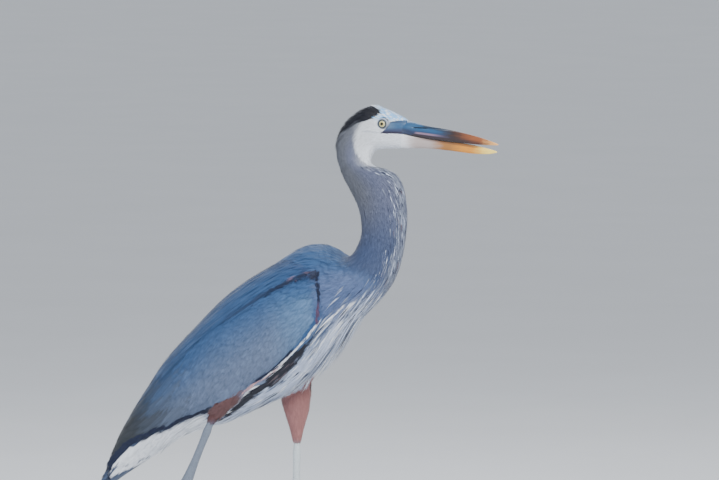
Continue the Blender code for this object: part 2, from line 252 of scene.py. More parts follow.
# %% Stations and places
LINE = {  # back x, back z, front x, front z, half width, in millimetres
    "face": (174, 766.4, 166, 723.2, 12),
    "brow": (157, 774.6, 148.5, 722.6, 14.5),
    "eye": (135, 783, 131, 721.4, 17),
    "crown": (111.5, 785.2, 119.7, 717.3, 18.5),
    "nape": (78, 764.5, 113.8, 706.6, 17.5),
    "occiput": (60.7, 736.6, 112.9, 701.3, 17),
    "throat": (57.8, 714, 114.6, 698.2, 17),
    "neck_head": (61.4, 696, 125, 694.4, 17.5),
    "neck_kink": (70, 674.5, 150, 687.2, 18.5),
    "neck_bulge": (83.8, 650.7, 164.6, 669, 20),
    "neck_middle": (95, 626, 171.2, 632, 20.5),
    "neck_low": (98.4, 594, 169.4, 591, 22.5),
    "neck_base": (86.2, 565.7, 159.6, 545.3, 30),
    "shoulder": (74.2, 558.6, 145.3, 514.8, 40),
    "breast": (60.7, 566, 121.3, 487, 50),
    "hump": (39.9, 576, 91, 457.5, 58),
    "wing_bend": (13.5, 575, 62.3, 417.4, 62.5),
    "back_fore": (-14, 561.5, 27.1, 381.8, 64.5),
    "back_middle": (-47, 538.5, -12.8, 348.9, 65),
    "back_low": (-83.5, 515.5, -51.1, 329.7, 63.5),
    "loin": (-120, 487, -86.2, 313.6, 60),
    "rump": (-154.5, 452, -118.1, 299.1, 54),
    "vent": (-186, 421, -148.5, 291, 46.5),
    "tail_root": (-217.5, 387, -178.5, 283, 38.5),
    "tail_fore": (-241.5, 352, -207.5, 266.5, 34),
    "tail_middle": (-265.5, 316, -237, 244, 31),
    "tail_aft": (-285, 283, -264.5, 223, 28.5),
    "tail_end": (-301, 250, -289.5, 206, 26.5),
    "tail_tip": (-316.5, 219.5, -310.5, 192.5, 24),
    "tail_edge": (-328, 197, -326, 189.5, 19),
}
AT = {station: float(k) for k, station in enumerate(LINE)}
LAST = float(len(LINE) - 1)


def cubic(rows, steps):
    """The rows with more between them, on a cubic through all of them."""
    rows = np.asarray(rows, float)
    slopes = np.gradient(rows, axis=0)
    t = (np.arange(steps) / steps)[None, :, None]
    a, b, slope_a, slope_b = rows[:-1, None], rows[1:, None], slopes[:-1, None], slopes[1:, None]
    between = (2 * t**3 - 3 * t**2 + 1) * a + (t**3 - 2 * t**2 + t) * slope_a
    between = between + (3 * t**2 - 2 * t**3) * b + (t**3 - t**2) * slope_b
    return np.concatenate([between.reshape(-1, rows.shape[1]), rows[-1:]])


FINE = 16
fine_line = cubic(list(LINE.values()), FINE)


def unit(vectors):
    return vectors / np.maximum(np.linalg.norm(vectors, axis=-1, keepdims=True), 1e-12)


def dot(first, second):
    return np.einsum("ij,ij->i", first, second)


def square_to(way, vectors):
    """The vectors without what they have of a unit way."""
    return vectors - way * dot(vectors, way)[:, None]


def run_along(points):
    """How far along a row of points each of them lies, from 0 at the first."""
    return np.concatenate([[0], np.cumsum(np.linalg.norm(np.diff(points, axis=0), axis=1))])


def read(table, at, column=1):
    """A column of a table, read between its rows at places in its first column."""
    table = np.asarray(table)
    return np.interp(at, table[:, 0], table[:, column])


def in_mm(points):
    """The x, y and z of points in millimetres, as the tables here give them."""
    return ((points - SHIFT) / MM).T


def slice_at(station):
    """Centre, way to the back, half depth and half width of the slices at these stations, in metres."""
    at = np.clip(station, 0, LAST) * FINE
    row = np.stack([np.interp(at, np.arange(len(fine_line)), column) for column in fine_line.T], -1)
    back = np.stack([row[..., 0], 0 * row[..., 0], row[..., 1]], -1) * MM + SHIFT
    front = np.stack([row[..., 2], 0 * row[..., 0], row[..., 3]], -1) * MM + SHIFT
    depth = np.linalg.norm(back - front, axis=-1) / 2
    return (back + front) / 2, unit(back - front), depth, row[..., 4] * MM


def place_at(station, angle, side, lift=0.0):
    """Points on the slices' rims: the angle in degrees from the back, the side 1 for left, -1 for right."""
    centre, up, depth, width = slice_at(station)
    turn = np.radians(angle)
    reach = up * (np.cos(turn) * (depth + lift))[..., None]
    reach[..., 1] += np.sin(turn) * (width + lift) * side
    return centre + reach


table_stations = np.arange(0, LAST + 0.01, 0.125)
table_angles = np.arange(0.0, 180.1, 6.0)
grid_s, grid_a, grid_side = (
    part.ravel() for part in np.meshgrid(table_stations, table_angles, [1.0, -1.0], indexing="ij")
)
places = place_at(grid_s, grid_a, grid_side)
finder = KDTree(len(places))
for index, point in enumerate(places):
    finder.insert(point, index)
finder.balance()


def locate(points):
    """The station and angle nearest to each point, smoothed over its four nearest table entries."""
    found_s, found_a = [], []
    for point in points.tolist():
        near = finder.find_n(point, 4)
        weights = np.array([1.0 / (d + 1e-4) for _, _, d in near])
        chosen = [i for _, i, _ in near]
        found_s.append(float(np.dot(weights, grid_s[chosen]) / weights.sum()))
        found_a.append(float(np.dot(weights, grid_a[chosen]) / weights.sum()))
    return np.array(found_s), np.array(found_a)


print("body line of", len(LINE), "stations,", len(places), "places in the table")

# %% [markdown]
# ## The skin
#
# Under the feathers lies one skin. It is made from copies of the flesh solids: they are joined, swollen a
# little so that the thin cuts between them close, remeshed as one volume and smoothed. Modelling it anew
# would only repeat the solids' shape. At the end it is drawn in by the depth of the coat and smoothed, so
# that the feathers, and not the skin, reach the bird's outline. About one corner in twelve still stays
# outside the solids, by 1.3 mm at most, chiefly about the wings and on the face.

# %% One skin from the flesh solids
FLESH = ["head", "neck_upper", "neck_middle", "neck_lower", "trunk", "tail"]
FLESH += ["wing_right", "wing_left", "thigh_right", "thigh_left"]
SWELL = 0.9 * MM


def pick(*objects):
    """Selects these objects and nothing else, the first of them active."""
    bpy.ops.object.select_all(action="DESELECT")
    for thing in objects:
        thing.select_set(True)
    bpy.context.view_layer.objects.active = objects[0]


MERGE = 0.00001  # metres between corners that are one


def merged_copy(name, *nodes):
    """One object from copies of these solids, with their corners merged."""
    copies = []
    for node in nodes:
        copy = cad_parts[node].copy()
        copy.data = copy.data.copy()
        copy.parent = None
        for key in list(copy.keys()):
            del copy[key]
        bpy.context.collection.objects.link(copy)
        copies.append(copy)
    pick(*copies)
    if len(copies) > 1:
        bpy.ops.object.join()
    piece = bpy.context.object
    piece.name = name
    piece.data.name = name
    piece.data.materials.clear()
    edit(piece, bpy.ops.mesh.remove_doubles, threshold=MERGE)
    return piece


def apply(piece, kind, **settings):
    """Adds a modifier with these settings and applies it."""
    pick(piece)
    modifier = piece.modifiers.new(kind.lower(), kind)
    for key, value in settings.items():
        setattr(modifier, key, value)
    bpy.ops.object.modifier_apply(modifier=modifier.name)


def edit(piece, operator, times=1, **settings):
    """Runs an edit mode operator on the whole of a piece, so many times."""
    pick(piece)
    bpy.ops.object.mode_set(mode="EDIT")
    bpy.ops.mesh.select_all(action="SELECT")
    for _ in range(times):
        operator(**settings)
    bpy.ops.object.mode_set(mode="OBJECT")


def dress(piece, material):
    """Shades a piece smoothly and gives it its one material."""
    pick(piece)
    bpy.ops.object.shade_smooth()
    piece.data.materials.clear()
    piece.data.materials.append(material)


def vectors_of(elements, key):
    flat = np.zeros(len(elements) * 3)
    elements.foreach_get(key, flat)
    return flat.reshape(-1, 3)


def points_of(piece):
    return vectors_of(piece.data.vertices, "co")


def normals_of(piece):
    return vectors_of(piece.data.vertex_normals, "vector")


def move_points(piece, points):
    piece.data.vertices.foreach_set("co", points.ravel())
    piece.data.update()


def keep_largest(piece):
    """Deletes everything but the largest connected shell."""
    edit(piece, bpy.ops.mesh.separate, type="LOOSE")
    shells = sorted(bpy.context.selected_objects, key=lambda shell: len(shell.data.vertices))
    for shell in shells[:-1]:
        bpy.data.objects.remove(shell, do_unlink=True)
    return shells[-1]


def one_volume(name, nodes, swell, voxel, soften):
    piece = merged_copy(name, *nodes)
    if swell:
        apply(piece, "DISPLACE", strength=swell, mid_level=0.0)
    apply(piece, "REMESH", mode="VOXEL", voxel_size=voxel)
    piece = keep_largest(piece)
    piece.name = name
    apply(piece, "SMOOTH", factor=0.5, iterations=soften)
    return piece


skin = one_volume("skin", FLESH, SWELL, 0.0023, 5)
print("skin of", len(skin.data.vertices), "corners")

# %% [markdown]
# The coat is not equally deep all over: hardly a millimetre on the face, and thickest on the belly. The
# depth is a curve over the stations, thinner on the bare lores and round the eyes.

# %% Draw the skin in under the coat
COAT_DEPTH = (  # station, depth in millimetres
    (0.0, 0.5), (2.0, 0.9), (4.0, 1.6), (7.0, 2.2), (11.0, 2.6), (14.0, 4.2), (22.0, 4.2), (24.0, 4.5),
    (27.0, 5.0), (29.0, 3.5),
)
EYE_X, EYE_Y, EYE_Z = 137.5, 10.2, 760.6  # the left one's middle, in millimetres
EYE = np.array([EYE_X, EYE_Y, EYE_Z]) * MM + SHIFT
EYE_RADIUS = 9.0 * MM


def coat_depth(station):
    return read(COAT_DEPTH, station) * MM


def on_thigh(points, station, angle):
    """0 on the body, 1 on the thighs: by how far a point stands off the body line's own slices."""
    gap = np.linalg.norm(points - place_at(station, angle, np.sign(points[:, 1])), axis=1)
    return np.clip((gap / MM - 7.0) / 7.0, 0, 1) * (station > 14)


THIGH_DEPTH = 1.3 * MM
THIGH_FRONT = 8.0 * MM  # how far the left thigh's front draws back where it meets the belly
skin_points = points_of(skin)
skin_s, skin_a = locate(skin_points)
x, y, z = in_mm(skin_points)
front = on_thigh(skin_points, skin_s, skin_a) * np.clip((x + 21) / 26, 0, 1) * (y > 0)
skin_points[:, 0] -= front * np.clip((z - 318) / 40, 0, 1) * THIGH_FRONT
skin_depth = coat_depth(skin_s)
skin_depth = skin_depth + (THIGH_DEPTH - skin_depth) * on_thigh(skin_points, skin_s, skin_a)
to_eye = np.linalg.norm((skin_points * [1, 0, 1]) - (EYE * [1, 0, 1]), axis=1)
near_eye = np.clip(1 - (to_eye - 0.008) / 0.004, 0, 1) * (skin_s < 4)
skin_depth = skin_depth * (1 - near_eye) + 0.0001 * near_eye
move_points(skin, skin_points - normals_of(skin) * (skin_depth + SWELL)[:, None])
apply(skin, "SMOOTH", factor=0.5, iterations=2)
skin_points = points_of(skin)
print("skin drawn in by", round(skin_depth.min() * 1000, 2), "to", round(skin_depth.max() * 1000, 2), "mm")

# %% [markdown]
# Feathers have to find the skin: where a ray from outside meets it, and which of its points is nearest to a
# feather that grows along it. Both questions go to one search tree, whose normals are softened.


# %% Asking the skin
class Surface:
    """The skin as something that can be asked for its nearest point or for where a ray meets it."""

    def __init__(self, piece):
        piece.data.calc_loop_triangles()
        corners = np.zeros(len(piece.data.loop_triangles) * 3, int)
        piece.data.loop_triangles.foreach_get("vertices", corners)
        triangles = corners.reshape(-1, 3)
        self.tree = BVHTree.FromPolygons(points_of(piece).tolist(), triangles.tolist())
        self.normals = unit(normals_of(piece)[triangles].mean(axis=1))

    def nearest(self, points):
        found = [self.tree.find_nearest(point) for point in points.tolist()]
        spots = np.array([tuple(hit[0]) for hit in found])
        return spots, self.normals[[hit[2] for hit in found]]

    def struck(self, origins, ways, reach):
        """Where rays meet the skin, its normals there, and which rays do so within reach."""
        spots, normals, good = np.zeros_like(origins), np.zeros_like(origins), np.zeros(len(origins), bool)
        for k, (origin, way) in enumerate(zip(origins.tolist(), ways.tolist())):
            spot, _, index, _ = self.tree.ray_cast(origin, way, reach)
            if spot is not None:
                spots[k], normals[k], good[k] = spot, self.normals[index], True
        return spots, normals, good


surface = Surface(skin)

# %% [markdown]
# ## Markings
#
# Skin and feathers share one function that says what colour a place on the bird has. It starts from slate
# and lays the markings over it with soft edges: white face and forehead, black crown, mauve-grey neck with a
# streaked front, blue-grey back, white belly with a black stripe under each wing, white under the tail.

# %% Colours of a place
TINTS = {  # as a screen shows them
    "slate": (50, 86, 132),
    "deep": (38, 68, 112),
    "lilac": (98, 114, 143),
    "pale_slate": (90, 128, 170),
    "neck": (98, 105, 131),
    "neck_low": (61, 77, 112),
    "dove": (101, 105, 114),
    "white": (238, 243, 251),
    # White lit pale blue on the forehead: a painted highlight.
    "forehead_highlight": (150, 205, 255),
    "face": (220, 225, 232),
    "grey": (140, 150, 170),
    "black": (10, 14, 30),
    "charcoal": (34, 37, 50),
    "umber": (96, 84, 92),
    "mauve": (88, 66, 96),
    "smoke": (46, 50, 53),
    "breast": (86, 106, 148),
    "lore": (50, 66, 96),
    "navy": (26, 37, 66),
    "rufous": (100, 70, 72),
    "pink": (196, 158, 164),
    "rose": (124, 100, 124),
    "primary": (24, 34, 62),
    "tail": (72, 88, 116),
    "belly": (196, 208, 232),
}
TINT = {name: linear(value) for name, value in TINTS.items()}
CROWN_EDGE_X = (60.0, 68.0, 80.0, 88.0, 95.0, 104.0, 113.0, 121.0, 128.0, 134.0, 138.0)
CROWN_EDGE_Z = (724.5, 741.5, 750.0, 756.3, 760.8, 762.5, 765.2, 768.3, 773.5, 781.0, 792.0)
STRIPE = np.array(  # station, middle and half width in degrees
    (
        (15.8, 122.0, 1.0), (16.5, 128.0, 3.0), (17.4, 131.0, 6.5), (18.4, 136.5, 6.8),
        (19.3, 143.0, 6.4), (20.0, 149.0, 5.4), (20.9, 156.0, 4.6), (21.8, 163.0, 2.5),
    )
)
SCAPULAR_EDGE = np.array(  # station, lower edge of the scapulars in degrees
    ((14.4, 50.0), (15.4, 62.0), (16.7, 61.0), (17.6, 57.0), (19.0, 55.5), (20.0, 51.0), (22.0, 40.0))
)
TAIL_SHOWS = np.array(  # station, angle from which the bare tail shows behind its white coverts
    ((24.4, 184.0), (24.9, 168.0), (25.4, 150.0), (25.9, 133.0), (26.4, 118.0), (26.9, 108.0), (27.2, 92.0))
)
PALE_RIM = np.array(  # station, middle of the pale line under the wing's edge in degrees
    ((15.9, 112.5), (16.1, 116.0), (16.5, 119.5), (17.3, 122.5), (18.0, 126.5), (18.6, 129.5), (19.6, 132.0))
)
WING_BEND = np.array(  # degrees, station of the wing's front edge, half width of its mark in stations
    ((58, 15.30, 0.20), (66, 15.34, 0.18), (70, 15.38, 0.10), (87, 15.50, 0.09), (95, 15.66, 0.09))
    + ((105, 15.88, 0.08), (117, 16.20, 0.06))
)


def rise(value, low, high):
    """0 below low, 1 above high and a soft slope between them; falls where low is the larger."""
    t = np.clip((value - low) / (high - low), 0, 1)
    return t * t * (3 - 2 * t)


def over(colours, tint, mask):
    """The colours with a tint laid over them."""
    return colours + (np.asarray(tint) - colours) * np.clip(mask, 0, 1)[:, None]


def layered(colours, *layers):
    """The colours with tints laid over them in turn: pairs of a tint and how much of it shows where.

    A tint is one of the names above, or a colour as a screen shows it.
    """
    for tint, mask in layers:
        colours = over(colours, TINT[tint] if isinstance(tint, str) else linear(tint), mask)
    return colours


WING_EDGES = np.array(  # share of its length, upper and lower edge in degrees from the back
    (
        (0.00, 64.0, 108.0), (0.06, 47.0, 115.0), (0.16, 16.0, 121.5), (0.26, 7.0, 127.5),
        (0.34, 4.0, 130.5), (0.43, 3.0, 129.0), (0.54, 3.0, 133.0), (0.65, 3.0, 131.0),
        (0.75, 3.5, 112.0), (0.83, 4.0, 95.0), (0.92, 5.0, 87.0), (1.00, 16.0, 84.0),
    )
)
WING_FROM, WING_TO, WING_SLANT = AT["breast"] + 1.45, AT["tail_end"] + 0.45, 0.65
BAND_ALONG = (0.42, 0.55, 0.70, 0.80, 0.90, 1.00)  # shares along the wing
BAND_ACROSS = (0.985, 0.970, 0.940, 0.905, 0.840, 0.700)  # and where its dark lower edge begins


def wing_place(along, across):
    """Station and angle of a place on the folded wing, by its share from bend to tip and top to bottom."""
    upper, lower = (read(WING_EDGES, along, k) for k in (1, 2))
    station = WING_FROM + (WING_TO - WING_FROM) * along + WING_SLANT * across * (1 - along) ** 2
    return station, upper + (lower - upper) * across


def wing_share(station, angle):
    """The share along and across the folded wing of places given by station and angle."""
    along = (station - WING_FROM) / (WING_TO - WING_FROM)
    for _ in range(4):
        inside = np.clip(along, 0, 1)
        upper, lower = (read(WING_EDGES, inside, k) for k in (1, 2))
        across = (angle - upper) / (lower - upper)
        slant = WING_SLANT * np.clip(across, 0, 1) * (1 - inside) ** 2
        along = (station - WING_FROM - slant) / (WING_TO - WING_FROM)
    return along, across


# The bare skin between bill and eye: the height and place of its hind border, in millimetres.
LORE_Z = (745.5, 749.0, 755.0, 760.0, 763.5, 765.0)
LORE_X = (132.0, 138.0, 145.0, 147.0, 149.0, 158.0)
LORE_TOP = 764.8


def bare(x, z):
    """Above 0 in the bare skin before the eye, in millimetres from its edge, below 0 outside it."""
    rear = x - np.interp(z, LORE_Z, LORE_X)
    return np.minimum(np.minimum(rear, LORE_TOP + (x - 150) * 0.02 - z), z - 746.3)


def accents(colours, station, angle, right=1.0):
    """Lays the small marks over the colours, and gives them and the marks' strength.

    They are the wing's bend, black above and mauve below, the pale line under its edge with the dark notch
    over it, two pink spots at the scapulars' edge, a navy line of painted shadow just under that edge, and
    the brown of the right thigh, which lies against the belly; right is 1 on that side and 0 on the other.
    """
    total = np.zeros(len(station))
    bend, half = (read(WING_BEND, angle, k) for k in (1, 2))
    near = rise(np.abs(station - bend) / half, 1.2, 0.8)
    rim = read(PALE_RIM, station)
    rim_mask = rise(np.abs(angle - rim), 1.9, 1.1) * rise(station, 15.9, 16.1) * rise(station, 19.6, 19.0)
    notch = rise(np.abs(angle - rim + 3.2), 2.0, 1.2) * rise(station, 17.0, 17.3) * rise(station, 18.9, 18.5)
    thigh = rise(station, 19.3, 19.8) * rise(station, 21.3, 21.0) * rise(angle, 127, 128.5) * right
    # A navy line just under the scapulars' edge: painted shadow that they cast on the wing.
    under = read(SCAPULAR_EDGE, station) + 1.5
    line = rise(np.abs(angle - under), 2.4, 1.0) * rise(station, 15.2, 15.4) * rise(station, 19.2, 17.0)
    marks = [
        ("navy", near * rise(angle, 61.5, 65) * rise(angle, 98, 93)),
        ("mauve", near * rise(angle, 93, 98) * rise(angle, 116, 112)),
        ("white", rim_mask * rise(station, 17.9, 17.2)), ("pink", rim_mask * rise(station, 17.2, 17.9)),
        ("navy", notch), ("rufous", thigh * rise(angle, 142, 139)),
        ("navy", line * (0.30 + 0.45 * rise(station, 17.6, 16.6))),
    ]
    for spot_s, spot_a, wide, strength in ((16.42, 60.4, 0.17, 0.60), (15.62, 63.4, 0.15, 0.40)):
        spot = ((station - spot_s) / wide) ** 2 + ((angle - spot_a) / 1.4) ** 2
        marks.append(("rose", rise(spot, 1.6, 0.6) * strength))
    for name, mask in marks:
        colours = over(colours, TINT[name], mask)
        total = np.maximum(total, mask)
    return colours, total


def markings(points, station, angle, fine=True):
    """The plumage's colour, in light, at these places; fine adds the small marks."""
    x, y, z = in_mm(points)
    colours = np.tile(TINT["slate"], (len(points), 1))
    # Neck, paler and warmer up towards the head, and streaked down its front.
    front = rise(angle, 128, 160)
    colours = layered(
        colours,
        ("neck_low", rise(station, 14.0, 12.2)),
        ("neck", rise(station, 12.0, 9.0)),
        ("dove", rise(angle, 105, 55) * rise(station, 11.5, 8.5) * 0.9),
        ("grey", front * rise(station, 6.5, 8.0) * rise(station, 15.5, 13.5) * 0.6),
    )
    # Breast, belly and the feathers under the tail.
    fore = rise(station, 12.6, 13.6) * rise(station, 16.2, 15.2) * rise(angle, 50, 90)
    breast = rise(angle, 118, 152) * rise(station, 13.2, 14.6)
    # Lilac along the keel: painted shade on the belly's underside.
    keel = rise(angle, 156, 172) * rise(station, 14.4, 15.4) * rise(station, 20.8, 19.0)
    along, across = wing_share(station, angle)
    bare_tail = read(TAIL_SHOWS, station)
    colours = layered(
        colours,
        ("breast", fore),
        ("belly", breast),
        ("lilac", keel * 0.5),
        ("white", rise(station, 20.8, 22.0) * rise(across, 1.0, 1.04)),
        ("deep", rise(station, 23.0, 25.5) * rise(across, 0.1, -0.1)),
        ("tail", rise(angle - bare_tail, -2, 2) * rise(station, 24.3, 24.6)),
    )
    # Wing: slate above, lilac-grey below, darker where the long feathers end.
    wing = rise(across, -0.04, 0.03) * rise(across, 1.04, 0.99) * rise(along, -0.02, 0.01)
    band = np.interp(along, BAND_ALONG, BAND_ACROSS)
    shade = layered(
        np.tile(TINT["deep"], (len(points), 1)),
        ("slate", rise(across, 0.05, 0.30)),
        ("lilac", rise(across, 0.40, 0.85) * rise(along, 0.95, 0.6)),
        ("pale_slate", rise(across, 0.35, 0.6) * rise(along, 0.20, 0.04) * 0.7),
        ("smoke", rise(along, 0.48, 0.78) * rise(across, 0.12, 0.40) * 0.95),
        ("primary", rise(along, 0.86, 1.0) * 0.7),
        ("primary", rise(along, 0.40, 0.46) * rise(across - band, -0.02, 0.02)),
    )
    colours = over(colours, shade, wing)
    # The shadowed line under the scapulars, and the stripe between wing and belly.
    edge = read(SCAPULAR_EDGE, station)
    line = rise(np.abs(angle - edge - 1.5), 2.8, 0.8) * rise(station, 15.2, 15.5) * rise(station, 21.0, 18.4)
    colours = layered(colours, ("navy", line * 0.7))
    middle, half = (read(STRIPE, station, k) for k in (1, 2))
    stripe = rise(np.abs(angle - middle), half + 1, half - 1)
    stripe = stripe * rise(station, 16.0, 16.5) * rise(station, 22.3, 21.6)
    colours = layered(colours, ("charcoal", stripe))
    if fine:
        colours = accents(colours, station, angle, right=y < 0)[0]
    # Face: white, shading into the neck behind the cheek and down the throat.
    face = rise(x, 84, 124) * rise(station, 7.6, 5.4)
    throat = rise(angle - 34 * (station - 5.2), 108, 134) * rise(station, 7.6, 6.8)
    bright = rise(x, 112, 132) * rise(station, 5.0, 3.5)
    jaw = np.exp(-(((z - 747.5 + (x - 130) * 0.05) / 0.9) ** 2)) * rise(x, 98, 112) * rise(x, 136, 130)
    colours = layered(
        colours,
        ("face", np.maximum(face, throat)),
        ("white", throat * rise(angle, 112, 134)),
        ("white", bright * 0.8),
        # The top of the forehead, white lit pale blue: a painted highlight.
        ("forehead_highlight", rise(x, 116, 136) * rise(z, 763, 769)),
        ("grey", jaw * 0.5),
    )
    # Black sides of the crown, joined at the nape, round a white middle.
    edge_z = np.interp(x, CROWN_EDGE_X, CROWN_EDGE_Z)
    crown = rise(z - edge_z, -0.8, 0.8) * rise(station, 6.2, 5.3)
    white_half = np.interp(x, (98, 110, 122, 134, 142), (0.0, 2.2, 5.0, 9.0, 14.0))
    middle = rise(np.abs(y) - white_half, 0.8, -0.8) * rise(x, 98, 106)
    colours = layered(colours, ("black", crown * (1 - middle)))
    # Bare skin before the eye.
    lore = rise(bare(x, z), -0.4, 0.6) * (station < 3.2) * (np.abs(y) > 6)
    colours = layered(colours, ("lore", lore))
    return colours


def paint(piece, colours):
    """Keeps a colour for each corner of a mesh, under the name that the materials read."""
    attribute = piece.data.color_attributes.new("markings", "FLOAT_COLOR", "POINT")
    full = np.concatenate([colours, np.ones((len(colours), 1))], axis=1)
    attribute.data.foreach_set("color", full.ravel())


skin_s, skin_a = locate(skin_points)
# The thighs' rufous is lighter on the left thigh, which the light falls on, and darker on the right one,
# which is in shade: painted light and shade on one colour.
THIGH_TINT_LIT_AND_SHADED = {"left": (166, 116, 114), "right": (100, 64, 64)}
skin_colours = markings(skin_points, skin_s, skin_a)
bare_thigh = on_thigh(skin_points, skin_s, skin_a)
for word, side in SIDES.items():
    skin_colours = over(skin_colours, linear(THIGH_TINT_LIT_AND_SHADED[word]), bare_thigh * (skin_points[:, 1] * side > 0))
paint(skin, skin_colours * 0.8)

skin_finish, shader, place = finish("skin_under_feathers", Roughness=0.85)
tint = place.painted()
down = place.noise(900.0)
connect(shader, Base_Color=(down * 0.4 + 0.8).brighter(tint), Normal=down.bump(0.4, 0.5))
dress(skin, skin_finish)
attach(skin, BODY)
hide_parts(*FLESH)
print("skin painted in", len(TINTS), "tints")

# %% [markdown]
# ## How a feather is laid
#
# A feather is a fan of narrow strips, its bundles of barbs: closed near the shaft, parted and pointed at the
# end, which keeps the plumage soft where whole blades would look like scales. Each kind is modelled once. To
# lay one, its middle line walks over the skin from the root, and rises from the skin at the root to the
# coat's full depth at the tip. So every feather lies on the roots of the ones behind it, as tiles do.
# Thousands of copies go into one mesh per piece, which a modifier or hair system could not export.

# %% Vanes
OUTLINES = {  # share along the feather, share of its full width; and how much shorter its side strips are
    "tile": (((0.0, 0.35), (0.30, 0.85), (0.60, 1.00), (1.00, 0.88)), 0.34),
    "lance": (((0.0, 0.35), (0.22, 0.95), (0.45, 1.00), (0.75, 0.62), (1.00, 0.22)), 0.45),
    "flight": (((0.0, 0.30), (0.15, 0.80), (0.50, 1.00), (1.00, 0.86)), 0.16),
}


def vane(kind, strips, rows, split, ragged):
    """A feather of so many strips: the share along and across of each corner, its strip and its faces.

    split is the share along at which the strips part, ragged how unevenly they end.
    """
    outline, shorter = OUTLINES[kind]
    bpy.ops.object.select_all(action="DESELECT")
    made = []
    for strip in range(strips):
        middle = -1 + (2 * strip + 1) / strips
        bpy.ops.mesh.primitive_grid_add(
            x_subdivisions=1, y_subdivisions=rows, size=1.0, location=(middle, 0.5, 0.0)
        )
        made.append(bpy.context.object)
        bpy.ops.object.transform_apply(location=True)
    pick(*made)
    bpy.ops.object.join()
    grid = bpy.context.object
    corners = points_of(grid)
    faces = np.array([face.vertices[:] for face in grid.data.polygons])
    bpy.data.objects.remove(grid, do_unlink=True)
    number = np.arange(len(corners)) // (2 * (rows + 1))
    middles = np.array([corners[number == strip, 0].mean() for strip in range(strips)])
    centre = middles[number]
    off = np.sign(corners[:, 0] - centre)
    share = corners[:, 1]
    closed = np.clip((share - split) / (1 - split), 0, 1)
    across = centre + off / strips * (1 - 0.94 * closed**1.5)
    along = share * (1 - shorter * centre**2)
    return {
        "steps": rows + 1,
        "along": along,
        "across": across,
        "half": read(outline, along) / 2,
        "strip": number,
        "strips": strips,
        "ragged": ragged,
        "faces": faces,
    }


VANES = {
    "down": vane("tile", 3, 2, 0.3, 0.10),
    "tile": vane("tile", 5, 3, 0.5, 0.10),
    "covert": vane("tile", 7, 4, 0.88, 0.035),
    "lance": vane("lance", 3, 5, 0.5, 0.10),
    "plume": vane("lance", 5, 9, 0.6, 0.10),
    "flight": vane("flight", 9, 10, 0.93, 0.05),
}
print({name: len(template["faces"]) * 2 for name, template in VANES.items()}, "triangles")

# %% A coat to lay them in
PATCH = 0.003  # one feather's share of the coat's bake map


class Coat:
    """Collects laid feathers and makes them one piece."""

    def __init__(self, name, slot="plumage"):
        self.name, self.slot, self.count = name, slot, 0
        self.points, self.faces, self.colours, self.vanes, self.bakes = [], [], [], [], []

    def add(self, template, points, colours, length, width, unwrap):
        """Adds feathers: their corners and colours, and where each root lies on the skin's unwrap."""
        n, v = points.shape[:2]
        start = sum(len(block) for block in self.points)
        self.points.append(points.reshape(-1, 3))
        self.colours.append(colours.reshape(-1, 3))
        offsets = start + np.arange(n)[:, None, None] * v
        self.faces.append((template["faces"][None] + offsets).reshape(-1, 4))
        across = template["across"][None] * template["half"][None] * width[:, None]
        along = template["along"][None] * length[:, None]
        self.vanes.append((np.stack([across, along], -1) / MM).reshape(-1, 2))
        spread = np.stack([template["across"] / 2, template["along"] - 0.5], -1) * PATCH
        self.bakes.append((unwrap[:, None] + spread[None]).reshape(-1, 2))
        self.count += n

    def make(self, material):
        points, faces = np.concatenate(self.points), np.concatenate(self.faces)
        mesh = bpy.data.meshes.new(self.name)
        mesh.vertices.add(len(points))
        mesh.vertices.foreach_set("co", points.ravel())
        mesh.loops.add(faces.size)
        mesh.loops.foreach_set("vertex_index", faces.ravel())
        mesh.polygons.add(len(faces))
        mesh.polygons.foreach_set("loop_start", np.arange(len(faces)) * 4)
        mesh.update(calc_edges=True)
        for key, parts in (("vane", self.vanes), ("OFBake", self.bakes)):
            layer = mesh.uv_layers.new(name=key)
            layer.data.foreach_set("uv", np.concatenate(parts)[faces.ravel()].ravel())
        mesh.shade_smooth()
        mesh.materials.append(material)
        piece = bpy.data.objects.new(self.name, mesh)
        bpy.context.scene.collection.objects.link(piece)
        paint(piece, np.concatenate(self.colours))
        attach(piece, BODY)
        print(self.name, self.count, "feathers,", len(faces) * 2, "triangles")
        return piece


def unwrap_of(station, angle, side):
    """Where places lie on the skin's own unwrap: along the body line, and round it from belly to belly."""
    return np.stack([0.01 + 0.78 * station / LAST, 0.5 + side * angle / 180 * 0.49], -1)


def between(rows, at):
    """Values along each feather's middle line at places between its rows."""
    low = np.minimum(at.astype(int), rows.shape[1] - 2)
    share = (at - low)[..., None]
    feather = np.arange(len(rows))[:, None]
    return rows[feather, low] * (1 - share) + rows[feather, low + 1] * share


